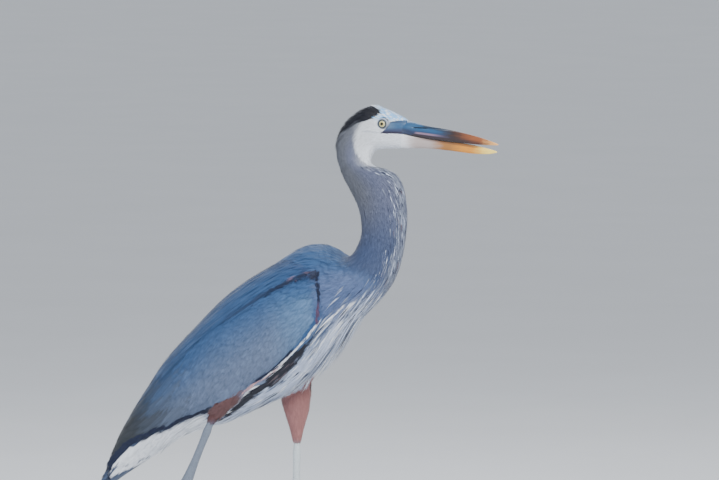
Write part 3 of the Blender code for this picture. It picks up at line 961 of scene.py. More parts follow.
def lay(coat, kind, roots, length, width, low, high, colours, cling=1.0, sag=0.0, camber=0.08, roll=0.04):
    """Lays one feather from each root, along its flow, rising from low to high over the skin.

    cling is how far the tip still follows the skin, sag how much it turns down along its way, camber how far
    its sides bend to the skin, and roll how unevenly it lies.
    """
    template = VANES[kind]
    n, steps = len(roots["point"]), template["steps"]
    length, width, low, high = (np.broadcast_to(value, n) * 1.0 for value in (length, width, low, high))
    path, normals, flow = [roots["point"]], [roots["normal"]], roots["flow"]
    for step in range(steps):
        share = (step + 1) / steps
        hold = 1 - (1 - cling) * share
        ahead = path[-1] + flow * (length / steps)[:, None]
        ahead[:, 2] -= sag * share * length / steps
        spots, found = surface.nearest(ahead)
        gap = np.linalg.norm(ahead - spots, axis=1)
        loose = np.clip((gap - length / steps * 0.8) / (length / steps * 0.4 + 1e-9), 0, 1)
        weight = (hold * (1 - loose))[:, None]
        inside = (dot(ahead - spots, found) < 0)[:, None]
        weight = np.where(inside, 1.0, weight)
        spot = spots * weight + ahead * (1 - weight)
        flow = unit(spot - path[-1])
        path.append(spot)
        normals.append(unit(found * weight + normals[-1] * (1 - weight)))
    path, normals = np.stack(path, 1), np.stack(normals, 1)
    tangents = unit(np.gradient(path, axis=1))
    across = unit(np.cross(normals, tangents))
    normals = unit(np.cross(tangents, across))
    strip, strips, ragged = template["strip"], template["strips"], template["ragged"]
    longer = 1 - np.abs(rng.normal(0, ragged, (n, strips)))[:, strip]
    t = np.clip(template["along"][None] * longer, 0, 1)
    a = template["across"][None]
    tilt = rng.normal(0, roll, n)[:, None]
    stray = rng.normal(0, ragged, (n, strips))[:, strip] * t**2
    reach = (a + stray) * template["half"][None] * width[:, None]
    height = low[:, None] + (high - low)[:, None] * t**0.8
    height = height - camber * width[:, None] * a**2 * template["half"][None] * 2 + tilt * reach * t
    height = height + np.abs(rng.normal(0, 0.12, (n, strips)))[:, strip] * t**2 * high[:, None] * 0.6
    at = t * steps
    points = between(path, at) + between(across, at) * reach[..., None]
    points = points + between(normals, at) * height[..., None]
    # Each feather's tone varies at random, and it darkens towards its root and pales to its tip: the dark
    # root is painted shade where it lies under the next feather.
    tone_and_root_shade = (1 + rng.normal(0, 0.035, (n, strips))[:, strip]) * (0.90 + 0.16 * t**4)
    coat.add(template, points, colours[:, None] * tone_and_root_shade[..., None], length, width, roots["unwrap"])


ROOT_LIFT, ROOT_REACH = 14 * MM, 34 * MM  # where the rays that find the roots start, and how far they go
FARTHEST_ROOT = 12 * MM  # from the body line's own slices; beyond it a ray has met a thigh


def root_at(station, angle, side, turn=0.0, keep=None):
    """Roots at these places: the skin's point and normal, and the way that a feather lies there.

    turn is in degrees from the body line's own way towards the belly.
    """
    outside = place_at(station, angle, side, ROOT_LIFT)
    inwards = unit(place_at(station, angle, side, -0.5 * ROOT_LIFT) - outside)
    spots, normals, good = surface.struck(outside, inwards, ROOT_REACH)
    good &= np.linalg.norm(spots - place_at(station, angle, side), axis=1) < FARTHEST_ROOT
    if keep is not None:
        good &= keep(spots)
    step = 0.05
    way = place_at(station + step, angle, side) - place_at(station - step, angle, side)
    down = place_at(station, angle + 1.0, side) - place_at(station, angle - 1.0, side)
    way = unit(way)
    down = unit(square_to(way, down))
    turn = np.radians(np.broadcast_to(turn, len(station)))[:, None]
    flow = way * np.cos(turn) + down * np.sin(turn)
    flow = unit(square_to(normals, flow))
    unwrap = unwrap_of(station, angle, side)
    roots = {"point": spots, "normal": normals, "flow": flow, "unwrap": unwrap}
    roots.update(station=station, angle=angle, side=side)
    return {key: value[good] for key, value in roots.items()}


def sow(stations, angles, gap_along, gap_across, jitter=0.3):
    """Staggered places over a patch on both sides of the body, so many millimetres apart."""
    s0, s1 = stations
    a0, a1 = angles
    fine = np.linspace(s0, s1, 400)
    rims = [place_at(fine, np.full(400, a), 1.0) for a in (a0, (a0 + a1) / 2, a1)]
    runs = [run_along(rim) for rim in rims]
    longest = max(runs, key=lambda run: run[-1])
    rows = np.interp(np.arange(0, longest[-1], gap_along * MM), longest, fine)
    out = []
    for index, row in enumerate(rows):
        fan = np.linspace(a0, a1, 60)
        rim = place_at(np.full(60, row), fan, 1.0)
        run = run_along(rim)
        start = gap_across * MM * (0.25 + 0.5 * (index % 2))
        for side in (1.0, -1.0):
            angle = np.interp(np.arange(start, run[-1], gap_across * MM), run, fan)
            out.append(np.stack([np.full(len(angle), row), angle, np.full(len(angle), side)], 1))
    station, angle, side = np.concatenate(out).T
    here = np.linalg.norm(place_at(station + 0.1, angle, side) - place_at(station - 0.1, angle, side), axis=1)
    most = np.interp(station, fine, np.gradient(longest, fine)) * 0.2
    kept = rng.random(len(station)) < np.clip(here / most, 0.25, 1)
    station, angle, side = station[kept], angle[kept], side[kept]
    moved = rng.uniform(-jitter, jitter, len(station)) * gap_along * MM
    station = station + moved / (here[kept] / 0.2 + 1e-9)
    around = place_at(station, angle + 1, side) - place_at(station, angle - 1, side)
    degree = np.linalg.norm(around, axis=1) / 2
    angle = angle + rng.uniform(-jitter, jitter, len(angle)) * gap_across * MM / degree
    return np.clip(station, 0, LAST), np.clip(angle, 0, 180), side


def varied(colours, spread=0.06):
    """The colours, each feather's a little lighter or darker than its neighbours'."""
    return colours * (1 + rng.normal(0, spread, len(colours)))[:, None]


print("ready to lay feathers")

# %% [markdown]
# ## The coat's finish
#
# One material serves every feather. Its colour comes from the markings; over them go the barbs, fine lines
# that leave the shaft at a slant, a paler shaft, and a slow mottling over the body. The lines are read from
# the vane's own map, which counts millimetres across and along, so that they are equally fine on a face
# feather and on a tail feather.

# %% Feather finish
BARB_GAP = 0.9  # millimetres between barbs
BARB_SLANT = 1.3  # millimetres that a barb climbs for each that it goes out
SHAFT_HALF = 0.35  # millimetres

feather_finish, shader, place = finish(
    "feather_vane", Roughness=0.62, Sheen_Weight=0.25, Sheen_Roughness=0.4, Specular_IOR_Level=0.35,
)
tint = place.painted()
map_place = place.node("ShaderNodeUVMap", {}, uv_map="vane")
parts = map_place.node("ShaderNodeSeparateXYZ", {0: map_place})
across = parts.size()
along = map_place.node("ShaderNodeSeparateXYZ", {0: map_place}, output=1)
barbs = ((along - across * BARB_SLANT) * (2 * math.pi / BARB_GAP)).sine()
splits = place.noise(260.0, detail=4.0, roughness=0.6)
clumps = map_place.noise(0.9, detail=2.0, stretch=(1.6, 0.22, 1.0))
mottle = place.noise(38.0, detail=3.0)
shaft = across.rise(SHAFT_HALF, SHAFT_HALF * 0.4)
light = 0.80 + clumps * 0.28 + splits * 0.12 + barbs * 0.05 + shaft * 0.10 + mottle * 0.10 - 0.10
connect(
    shader, Base_Color=light.brighter(tint),
    Normal=(barbs * 0.35 + clumps * 1.2 + shaft * 0.8).bump(0.10, 0.5), Roughness=0.52 + splits * 0.22,
)
print("feather finish with", len(feather_finish.node_tree.nodes), "nodes")


# %% One call for one tract
def tract(coat, kind, stations, angles, gap, length, width, rises, turn=0.0, **more):
    """Sows one tract and lays its feathers.

    length and width are ranges in millimetres or functions of the station, rises the height above the skin
    at root and tip in millimetres, turn the feathers' turn to the belly. More: places, instead of those
    sown from stations, angles and gap; where, a test of station and angle; ends, the same for the tips;
    clear, to leave out what would lie on a thigh; keep, a test of the skin's points; tint, which changes
    the colours; sides; seen, the share along whose place gives the colour; uneven, by how much sizes from
    a function vary; and lay's own.
    """
    where, keep, tint = (more.pop(key, None) for key in ("where", "keep", "tint"))
    sides, spread, seen = more.pop("sides", (1.0, -1.0)), more.pop("spread", 0.07), more.pop("seen", 0.6)
    fine, ends, clear = more.pop("fine", False), more.pop("ends", None), more.pop("clear", False)
    places, uneven = more.pop("places", None), more.pop("uneven", 0.15)
    station, angle, side = sow(stations, angles, *gap) if places is None else places
    chosen = np.isin(side, sides)
    if where is not None:
        chosen &= where(station, angle)
    station, angle, side = station[chosen], angle[chosen], side[chosen]
    turned = turn(station, angle) if callable(turn) else turn
    roots = root_at(station, angle, side, turned, keep)
    n = len(roots["station"])
    sizes = []
    for size in (length, width):
        if callable(size):
            even = rng.uniform(1 - uneven, 1 + uneven, n)
            sizes.append(size(roots["station"], roots["angle"]) * even * MM)
        else:
            sizes.append(rng.uniform(size[0], size[1], n) * MM)
    if ends is not None or clear:
        tips = roots["point"] + roots["flow"] * sizes[0][:, None]
        good = np.ones(n, bool) if ends is None else ends(*locate(tips))
        if clear:
            beyond = tips + roots["flow"] * sizes[0][:, None] * (0.2 if kind == "plume" else 0.0)
            for spots in (roots["point"], surface.nearest(tips)[0], surface.nearest(beyond)[0]):
                good &= on_thigh(spots, *locate(spots)) < 0.15
        roots = {key: value[good] for key, value in roots.items()}
        sizes, n = [size[good] for size in sizes], int(good.sum())
    high = rises[1](roots["station"]) if callable(rises[1]) else np.full(n, rises[1] * MM)
    high = high * rng.uniform(0.75, 1.15, n)
    shown = roots["point"] + roots["flow"] * (sizes[0] * seen)[:, None]
    shown_s, shown_a = locate(shown)
    colours = varied(markings(shown, shown_s, shown_a, fine), spread)
    if tint is not None:
        colours = tint(colours, roots)
    lay(coat, kind, roots, sizes[0], sizes[1], rises[0] * MM, high, colours, **more)


def ramp_of(*pairs):
    """A size in millimetres that changes from station to station."""
    return lambda station, angle: read(pairs, station)


BLACK_BLUE = 0.06  # the blue, in light, below which a feather is one of the black markings


def mixed(*choices):
    """A tint for tracts whose feathers differ: pairs of a share and a tint, the rest as the markings say."""

    def tint(colours, roots):
        draw = rng.random(len(colours))
        low = 0.0
        for share, name in choices:
            picked = (draw >= low) & (draw < low + share) & (colours[:, 2] > BLACK_BLUE)
            bright = 1 + rng.normal(0, 0.08, len(colours))
            colours = np.where(picked[:, None], TINT[name] * bright[:, None], colours)
            low += share
        return colours

    return tint


# %% [markdown]
# ## Head and neck
#
# The face has the smallest feathers, a few millimetres long and close as fur, and none on the lores in front
# of the eye or round the lids. The crown's black ones are longer and end in a short point over the nape.
# Down the neck they lengthen, and along its front hang narrow streaked ones.

# %% Where the head is bare
LID_REACH = 6.9  # millimetres from the eye's middle


def feathered(points):
    x, _, z = in_mm(points)
    eye_gap = np.hypot(x - EYE_X, z - EYE_Z)
    front = 168.0 + 6.0 * rise(z, 760, 765) + 8.0 * rise(z, 744, 724) + rng.normal(0, 3.0, len(x))
    return (bare(x, z) < 0.0) & (eye_gap > LID_REACH) & (x < front)


coat_head = Coat("coat_head")
tract(
    coat_head, "down", (0.0, 6.2), (0, 180), (1.9, 1.7),
    ramp_of((0, 3.6), (2, 5.5), (4, 8.0), (6.2, 11.0)), ramp_of((0, 1.9), (3, 2.6), (6.2, 3.6)),
    (0.1, coat_depth), keep=feathered, spread=0.05,
)


def crest_depth(station):
    """The crown's feathers stand a little off the skin."""
    return np.interp(station, (0.3, 1.6, 2.6, 4.2, 5.2), (1.2, 3.6, 5.4, 5.2, 3.4)) * MM


def on_crown(station, angle):
    x, _, z = in_mm(place_at(station, angle, 1.0))
    return z > np.interp(x, CROWN_EDGE_X, CROWN_EDGE_Z) + 1.0


tract(
    coat_head, "lance", (1.6, 5.0), (0, 70), (3.6, 2.6),
    ramp_of((1.6, 8.0), (3.0, 15.0), (4.0, 22.0), (5.0, 24.0)), (2.6, 3.6), (0.6, crest_depth),
    where=on_crown, keep=feathered, cling=0.9,
)
# Some of the forehead's feathers take the lit blue-white: a painted highlight.
tract(
    coat_head, "lance", (0.3, 2.6), (0, 62), (2.8, 1.9), ramp_of((0.3, 5.0), (2.6, 10.5)), (1.2, 1.9),
    (0.3, lambda station: crest_depth(station) * 0.65),
    where=lambda station, angle: ~on_crown(station, angle), keep=feathered,
    tint=mixed((0.30, "white"), (0.20, "forehead_highlight")), cling=0.95,
)
coat_head.make(feather_finish)

# %% Neck
coat_neck = Coat("coat_neck")
tract(
    coat_neck, "tile", (5.6, 14.2), (0, 180), (3.2, 2.6),
    ramp_of((5.6, 12.0), (8, 16.0), (11, 21.0), (14.2, 28.0)),
    ramp_of((5.6, 3.4), (10, 4.8), (14.2, 6.0)), (0.2, coat_depth), spread=0.05,
)
coat_neck.make(feather_finish)

neck_streaks = Coat("neck_streaks")
streaks = mixed((0.15, "belly"), (0.17, "navy"), (0.26, "grey"), (0.16, "neck"), (0.012, "rufous"))
for angles, gap in (((108, 132), (12.0, 6.0)), ((124, 146), (6.4, 3.0)), ((136, 180), (4.2, 1.9))):
    tract(
        neck_streaks, "lance", (6.6, 13.6), angles, gap, ramp_of((6.6, 12.0), (9, 22.0), (13.6, 40.0)),
        (0.9, 1.8), (0.8, lambda station: coat_depth(station) + 0.7 * MM), tint=streaks, cling=0.9,
    )
neck_streaks.make(feather_finish)

# %% [markdown]
# ## Breast and belly
#
# Long narrow plumes hang from the base of the neck over the breast, and the belly is white with dark
# streaks, bordered by a black stripe on each side. These feathers are loose: they follow the body at their
# roots and less at their tips.

# %% Breast and belly
def below_wing(station, angle):
    """True off the folded wing and below it."""
    along, across = wing_share(station, angle)
    return (across > 1.01) | (along < -0.015)


def off_thigh_patch(station, angle):
    """True below the wing, except where the thigh's brown patch and what lies before it would be hidden."""
    patch = (station > 18.5) & (station < 21.0) & (angle < 137 + 4 * (station > 19.6))
    return below_wing(station, angle) & ~patch


coat_breast = Coat("coat_breast")
tract(
    coat_breast, "covert", (13.2, 16.8), (56, 180), (6.0, 4.2), (26, 38), (6.5, 8.5), (0.4, coat_depth),
    spread=0.05,
)
hanging_side = mixed((0.26, "breast"), (0.18, "belly"), (0.07, "navy"), (0.20, "grey"))
tract(
    coat_breast, "plume", (13.3, 15.5), (90, 132), (8.0, 5.2), (36, 60), (2.2, 3.4), (0.8, 5.0),
    ends=below_wing, tint=hanging_side, turn=4.0, cling=0.8, sag=0.10,
)
hanging = mixed((0.22, "white"), (0.11, "navy"), (0.28, "belly"), (0.18, "lilac"))
tract(
    coat_breast, "plume", (12.6, 15.8), (124, 180), (7.0, 4.2), (50, 92), (2.4, 4.2), (1.0, 5.4),
    ends=below_wing, clear=True, tint=hanging, cling=0.72, sag=0.10,
)
tract(  # the loosest ones, whose tips hang free before the belly
    coat_breast, "plume", (14.5, 16.2), (158, 180), (9.0, 5.2), (52, 84), (2.2, 3.6), (2.0, 13.0),
    clear=True, tint=hanging, cling=0.35, sag=0.12,
)
coat_breast.make(feather_finish)

coat_belly = Coat("coat_belly")
for side, place_test in ((1.0, below_wing), (-1.0, off_thigh_patch)):
    tract(
        coat_belly, "covert", (15.8, 24.0), (100, 180), (7.0, 4.6), (28, 42), (6.5, 9.0),
        (0.4, coat_depth), sides=(side,), where=place_test, ends=below_wing, clear=True, turn=-6.0,
        spread=0.05,
    )
on_belly = mixed((0.09, "navy"), (0.30, "white"), (0.14, "lilac"))


def streaked(colours, roots):
    """The belly's tint, with some browner feathers in the black stripe too."""
    browner = (colours[:, 2] < BLACK_BLUE) & (rng.random(len(colours)) < 0.28)
    return np.where(browner[:, None], TINT["umber"], on_belly(colours, roots))


tract(
    coat_belly, "plume", (15.6, 21.6), (118, 180), (11.0, 5.6), (40, 66), (3.0, 5.0), (1.0, 5.2),
    where=off_thigh_patch, ends=below_wing, clear=True, tint=streaked, cling=0.85,
)
coat_belly.make(feather_finish)

# %% [markdown]
# ## Wings and back
#
# The folded wing is tiled from its bend to its tip: small coverts, then larger ones, then the long inner
# flight feathers that cover the rest, and short dark feathers where the primaries' edges show. Long
# pointed scapulars drape from the back over its upper half. Coverts lie turned towards the belly, as the
# arm under them does, and the long feathers lie along the wing.


# %% Wing coverts
def on_wing(along_range, across_range=(-0.02, 1.0)):
    def test(station, angle):
        along, across = wing_share(station, angle)
        inside = (along > along_range[0]) & (along < along_range[1])
        return inside & (across > across_range[0]) & (across < across_range[1])

    return test


def turn_to(way, station, angle):
    """How far a way over the skin turns from the body line at a place, in degrees."""
    line = unit(place_at(station + 0.05, angle, 1.0) - place_at(station - 0.05, angle, 1.0))
    down = unit(place_at(station, angle + 1.0, 1.0) - place_at(station, angle - 1.0, 1.0))
    down = unit(square_to(line, down))
    return np.degrees(np.arctan2(dot(way, down), dot(way, line)))


def wing_turn(extra):
    """The wing's own length at a place as a turn, and so much more."""

    def turn(station, angle):
        along, across = wing_share(station, angle)
        along, across = np.clip(along, 0.02, 0.98), np.clip(across, 0, 1)
        ahead, behind = wing_place(along + 0.02, across), wing_place(along - 0.02, across)
        own = turn_to(place_at(*ahead, 1.0) - place_at(*behind, 1.0), station, angle)
        return own + extra * rise(along, 0.92, 0.45) * rise(across, 1.0, 0.86) * rise(across, 0.02, 0.4)

    return turn


def line_turn(line):
    """The way of a line of stations and angles as a turn."""

    def turn(station, angle):
        ahead, behind = (read(line, station + d) for d in (0.1, -0.1))
        way = place_at(station + 0.1, ahead, 1.0) - place_at(station - 0.1, behind, 1.0)
        return turn_to(way, station, angle)

    return turn


def beside(lines, gap):
    """Places in rows along such lines, so many millimetres apart, on both sides of the bird."""
    out = []
    for row, line in enumerate(lines):
        fine = np.linspace(line[0, 0], line[-1, 0], 400)
        angles = read(line, fine)
        run = run_along(place_at(fine, angles, 1.0))
        for side in (1.0, -1.0):
            at = np.arange(gap * MM * (0.1 + 0.5 * (row % 2)), run[-1], gap * MM)
            at = at + rng.uniform(-0.25, 0.25, len(at)) * gap * MM
            out.append(np.stack([np.interp(at, run, fine), np.interp(at, run, angles), at * 0 + side], 1))
    return np.concatenate(out).T


def shifted(line, stations, offset):
    """The part of a line between two stations, so many degrees lower."""
    fine = np.linspace(*stations, 60)
    return np.stack([fine, read(line, fine) + offset], 1)


PALE, DARK = 0.30, 0.10  # the red above and below which a colour, in light, counts as white or dark


def never_pale(colours, roots):
    """The root's own tint where the markings would give the white beyond the wing's edge."""
    own = markings(roots["point"], roots["station"], roots["angle"], False)
    own = np.where((own[:, 0] > PALE)[:, None], TINT["smoke"], own)
    return np.where((colours[:, 0] > PALE)[:, None], own, colours)


WING_PATCH = ((14.8, 27.0), (0, 134))  # stations and angles that hold the whole folded wing

for word, side in SIDES.items():
    coat = Coat("coat_wing_" + word)
    wing = {"turn": wing_turn(20.0), "sides": (side,), "spread": 0.05, "tint": never_pale}
    ranks = (
        # along, across, gaps, length, width
        ((-0.01, 0.34), (-0.02, 1.0), (5.0, 4.0), (17, 23), (6.2, 7.6)),
        ((0.28, 0.58), (-0.02, 0.96), (6.4, 4.4), (28, 38), (7.0, 8.6)),
        ((0.50, 0.86), (-0.02, 0.90), (9.0, 5.2), (44, 60), (8.4, 10.5)),
    )
    for along_range, across_range, gap, length, width in ranks:
        test = on_wing(along_range, across_range)
        tract(coat, "covert", *WING_PATCH, gap, length, width, (0.4, 3.4), where=test, **wing)
    coat.make(feather_finish)

# %% Back and scapulars
coat_mantle = Coat("coat_mantle")
tract(
    coat_mantle, "covert", (13.0, 24.5), (0, 62), (6.6, 4.8),
    ramp_of((13, 26.0), (16, 34.0), (24.5, 60.0)), ramp_of((13, 7.0), (16, 8.5), (24.5, 11.0)),
    (0.5, coat_depth),
    where=lambda station, angle: angle < np.interp(station, (13, 15, 16, 24.5), (62, 58, 30, 16)),
    spread=0.05,
)
coat_mantle.make(feather_finish)

scapulars = Coat("scapular_plumes")
tract(
    scapulars, "plume", (14.2, 20.4), (2, 68), (8.0, 4.6),
    ramp_of((14.2, 34.0), (16, 60.0), (18, 105.0), (20.4, 150.0)), (6.0, 8.6), (1.8, 5.4),
    where=lambda station, angle: angle < read(SCAPULAR_EDGE, station), turn=3.0, cling=0.95,
    spread=0.05,
)
scapulars.make(feather_finish)

# %% Flight feathers
def plain(name):
    """A tint for a tract of one colour."""

    def tint(colours, roots):
        return TINT[name] * (1 + rng.normal(0, 0.08, (len(colours), 1)))

    return tint


BAND_FROM, BAND_TO = 0.44, 0.95  # shares along the wing where its dark lower edge begins and ends
along = np.linspace(BAND_FROM, BAND_TO, 80)
band_top = np.interp(along, BAND_ALONG, BAND_ACROSS)
band_lines = []
for share in np.linspace(0, 1, 8):
    band_lines.append(np.stack(wing_place(along, band_top + (0.985 - band_top) * share), 1))

for word, side in SIDES.items():
    coat = Coat("flight_feathers_" + word)
    tract(
        coat, "flight", *WING_PATCH, (12.0, 6.0), (75, 105), (10, 13), (1.6, 4.0),
        where=on_wing((0.48, 0.76), (0.02, 0.86)), sides=(side,), turn=wing_turn(6.0), tint=never_pale,
        spread=0.10,
    )
    tract(
        coat, "covert", None, None, None, (15, 22), (3.2, 4.2), (2.4, 4.8),
        places=beside(band_lines, 2.8), sides=(side,), turn=line_turn(band_lines[-1]),
        tint=plain("primary"),
    )
    coat.make(feather_finish)

# %% [markdown]
# The small marks at the wing's bend and along its lower edge are made by short feathers of their own, laid
# over the coverts: long ones would smear them.

# %% Marks of the wing's edge
edge_coat = Coat("wing_edge_feathers")


def marked(station, angle):
    return accents(np.zeros((len(station), 3)), station, angle)[1] > 0.35


# The first row lays short feathers along the scapulars' edge, in the navy of the painted shadow there.
for stations, angles, length, width, turned, tip, sides in (
    ((15.0, 19.3), (50, 70), (12, 17), (2.2, 3.0), line_turn(SCAPULAR_EDGE), 6.4, (1.0, -1.0)),
    ((14.8, 16.4), (60, 112), (7, 10), (2.4, 3.4), 72.0, 5.4, (1.0, -1.0)),
    ((19.0, 21.4), (125, 144), (10, 14), (3.0, 4.0), wing_turn(0.0), 4.8, (-1.0,)),
):
    tract(
        edge_coat, "tile", stations, angles, (1.9, 1.6), length, width, (2.6, tip), where=marked,
        turn=turned, fine=True, sides=sides, seen=0.2,
    )


def rim_tint(colours, roots):
    """White in front, pink behind."""
    pink = rise(roots["station"], 17.3, 18.1)[:, None]
    return varied(TINT["white"] * (1 - pink) + TINT["pink"] * pink, 0.04)


RIM_ROWS = (((16.00, 17.6), (0.0,)), ((16.20, 17.5), (-0.8, 0.8)), ((17.40, 19.5), (-0.6, 0.2)))
rim_lines = [shifted(PALE_RIM, stations, offset) for stations, offsets in RIM_ROWS for offset in offsets]
notch_lines = [shifted(PALE_RIM, (17.1, 18.7), offset) for offset in (-3.6, -2.8, -2.0)]
for lines, tint, tip in ((notch_lines, plain("navy"), 4.4), (rim_lines, rim_tint, 4.8)):
    tract(
        edge_coat, "lance", None, None, None, (11, 16), (1.7, 2.3), (2.8, tip),
        places=beside(lines, 2.2), turn=line_turn(PALE_RIM), tint=tint,
    )
edge_coat.make(feather_finish)

# %% [markdown]
# ## Tail
#
# Long slate feathers make the tail, laid from its root to its end above and below. Under their roots lies
# the pad of white coverts that shows as a white band below the dark wing tip.

# %% Tail and its coverts
TAIL_TIP = LAST - 0.15  # the station where the tail feathers end


def to_tail_tip(station, angle):
    """The length in millimetres from a place to the tail's end."""
    return np.linalg.norm(place_at(TAIL_TIP, angle, 1.0) - place_at(station, angle, 1.0), axis=1) / MM


tail_coat = Coat("tail_feathers")
for stations, angles, gap, name, lift in (
    ((23.8, 24.6), (96, 178), (30.0, 9.0), "tail", 1.6),
    ((24.4, 25.2), (0, 90), (24.0, 8.0), None, 2.0),
):
    tract(
        tail_coat, "flight", stations, angles, gap, to_tail_tip, (14, 17), (0.6, lift),
        tint=plain(name) if name else None, uneven=0.03,
    )
tail_coat.make(feather_finish)


def never_dark(colours, roots):
    """White where the markings would give the wing's dark edge."""
    return np.where((colours[:, 0] < DARK)[:, None], TINT["white"], colours)


def shows_white(station, angle):
    """True below the wing and before the bare tail."""
    tail_from = read(TAIL_SHOWS, station)
    return below_wing(station, angle) & (angle < tail_from + 3)


undertail = Coat("undertail_coverts")
tract(
    undertail, "covert", (21.4, 26.8), (80, 180), (6.0, 4.2), (24, 34), (6.5, 8.5), (1.0, 4.2),
    where=shows_white, tint=never_dark, spread=0.04,
)
tract(
    undertail, "plume", (21.6, 24.2), (138, 180), (8.0, 5.0), (34, 48), (4.0, 5.6), (2.0, 8.5),
    clear=True, tint=never_dark, cling=0.8, sag=0.08, spread=0.04,
)
undertail.make(feather_finish)

# %% [markdown]
# ## Thighs
#
# The thighs have their own short feathers, lying down the leg. They are sown round each leg's middle line
# instead of the body line.

# %% The legs' middle lines
LEG_LINES = {  # x, y outwards, z, half depth, half width, in millimetres from the hip down
    "left": (
        (-20.5, 36, 385, 38, 24), (-21, 39, 344, 28, 20), (-21.6, 42, 311, 18.5, 14.5),
        (-22, 44, 286, 10.8, 9.2), (-22.3, 45, 268, 7.4, 6.6), (-22.6, 45, 240, 5.6, 5.2),
        (-23, 45, 214, 5.8, 5.4), (-23.4, 45, 197, 8, 7.6), (-23.8, 45, 184, 9.4, 8.6),
        (-18.8, 45, 168, 6.6, 6.8), (-11, 45, 142, 4.7, 5), (1.5, 45, 101, 4.2, 4.5),
        (15.5, 45, 55, 4.5, 5.2), (23.4, 45, 29, 5.6, 7.8), (28.4, 45, 12.6, 7.4, 10.4),
    ),
    "right": (
        (-84, 36, 388, 34, 20), (-100, 38.5, 357, 27, 17), (-112.5, 41, 333, 18, 13),
        (-121.5, 43.5, 317, 11.2, 9.2), (-127.5, 45, 304.5, 7.8, 6.8), (-138.8, 45, 278, 5.8, 5.3),
        (-151.5, 45, 248, 5.9, 5.4), (-163, 45, 221, 7.8, 7.4), (-171, 45, 202, 9.4, 8.6),
        (-171.4, 45, 184, 6.8, 6.8), (-170.2, 45, 157, 4.7, 5), (-168.2, 45, 114, 4.2, 4.5),
        (-166.2, 45, 68, 4.5, 5.2), (-165, 45, 41, 5.6, 7.8), (-164.4, 45, 24, 7.4, 10.4),
    ),
}
KNEE_FEATHERS = 4.0  # the station of the leg line where the thigh's feathers end
# Lighter on the left leg, which is lit, and darker on the right one, in shade: painted light and shade on one
# colour.
SHANK_TINT_LIT_AND_SHADED = {"left": (150, 140, 150), "right": (98, 96, 116)}
THIGH_TOP = {"left": (0.376, 0.392), "right": (0.375, 0.400)}  # heights where it takes the body's colours


THIGH_STEPS, LEG_STEPS = 16, 12  # points to each row of the table, for the thigh and for the leg


def leg_line(word, steps):
    """The leg's middle line with a way forwards and outwards, in metres, and its half sizes."""
    rows = cubic(LEG_LINES[word], steps)
    middle = np.stack([rows[:, 0], rows[:, 1] * SIDES[word], rows[:, 2]], -1) * MM + SHIFT
    down = unit(np.gradient(middle, axis=0))
    outwards = np.tile([0.0, SIDES[word], 0.0], (len(middle), 1))
    forwards = unit(np.cross(outwards, down) * SIDES[word])
    return middle, down, forwards, outwards, rows[:, 3] * MM, rows[:, 4] * MM


for word, side in SIDES.items():
    coat = Coat("coat_thigh_" + word, "thigh_plumage")
    middle, down, forwards, outwards, half_depth, half_width = leg_line(word, THIGH_STEPS)
    run = run_along(middle)
    last = run[int(KNEE_FEATHERS * THIGH_STEPS)]
    spots, ways, flows, unwraps = [], [], [], []
    for index, at in enumerate(np.arange(0.0, last, 3.0 * MM)):
        row = [np.interp(at, run, column) for column in np.column_stack([middle, half_depth, half_width]).T]
        k = min(int(np.searchsorted(run, at)), len(run) - 1)
        count = max(int(2 * math.pi * (row[3] + row[4]) / 2 / (2.6 * MM)), 8)
        turns = (np.arange(count) + 0.5 * (index % 2)) / count * 2 * math.pi + rng.normal(0, 0.03, count)
        out = forwards[k] * np.cos(turns)[:, None] * row[3] + outwards[k] * np.sin(turns)[:, None] * row[4]
        spots.append(np.array(row[:3]) + out + unit(out) * 0.008)
        ways.append(-unit(out))
        flows.append(np.tile(down[k], (count, 1)))
        share = 0.5 + side * (0.02 + 0.46 * turns / (2 * math.pi))
        unwraps.append(np.stack([np.full(count, 0.82 + 0.17 * at / last), share], -1))
    spots, ways, flows, unwraps = (np.concatenate(part) for part in (spots, ways, flows, unwraps))
    struck, normals, good = surface.struck(spots, ways, 0.017)
    flows = unit(square_to(normals, flows))
    roots = {"point": struck, "normal": normals, "flow": flows, "unwrap": unwraps}
    roots = {key: value[good] for key, value in roots.items()}
    n = len(roots["point"])
    low_down = rise(roots["point"][:, 2], 0.36, 0.30)
    length = (13.0 - 3.0 * low_down) * MM * rng.uniform(0.7, 1.35, n)
    # The thigh's and the shank's tints are lighter on the lit left side and darker on the shaded right:
    # painted light and shade.
    thigh = np.tile(linear(THIGH_TINT_LIT_AND_SHADED[word]), (n, 1))
    shown_s, shown_a = locate(roots["point"])
    blend = rise(roots["point"][:, 2], *THIGH_TOP[word])
    thigh = thigh + (markings(roots["point"], shown_s, shown_a) - thigh) * blend[:, None]
    end = middle[int(KNEE_FEATHERS * THIGH_STEPS), 2]
    thigh = over(thigh, linear(SHANK_TINT_LIT_AND_SHADED[word]), rise(roots["point"][:, 2] - end, 0.014, 0.004) * 0.7)
    thigh = varied(thigh, 0.06)
    loose = roots["point"][:, 2] < end + 0.012
    thicker = rise(roots["point"][:, 2], 0.335, 0.36) * (word == "left")  # where the wing's tips meet it
    high = np.where(loose, 1.2, 1.6 + 2.8 * thicker) * MM
    for part, cling in ((~loose, 1.0), (loose, 0.1)):
        chosen = {key: value[part] for key, value in roots.items()}
        lay(coat, "tile", chosen, length[part], 3.4 * MM, 0.2 * MM, high[part], thigh[part], cling)
    coat.make(feather_finish)

# %% [markdown]
# ## Bill
#
# Each half of the bill is a tube of rings: a circle is added at its root and extruded to the tip, ring by
# ring, and the rings are then given the section of that half, flat towards the mouth with sharp cutting
# edges, and a ridge or a keel on the other side. Subdivision smooths it. The nostril is a slit in a groove
# that runs on forwards, pressed into the finished surface.

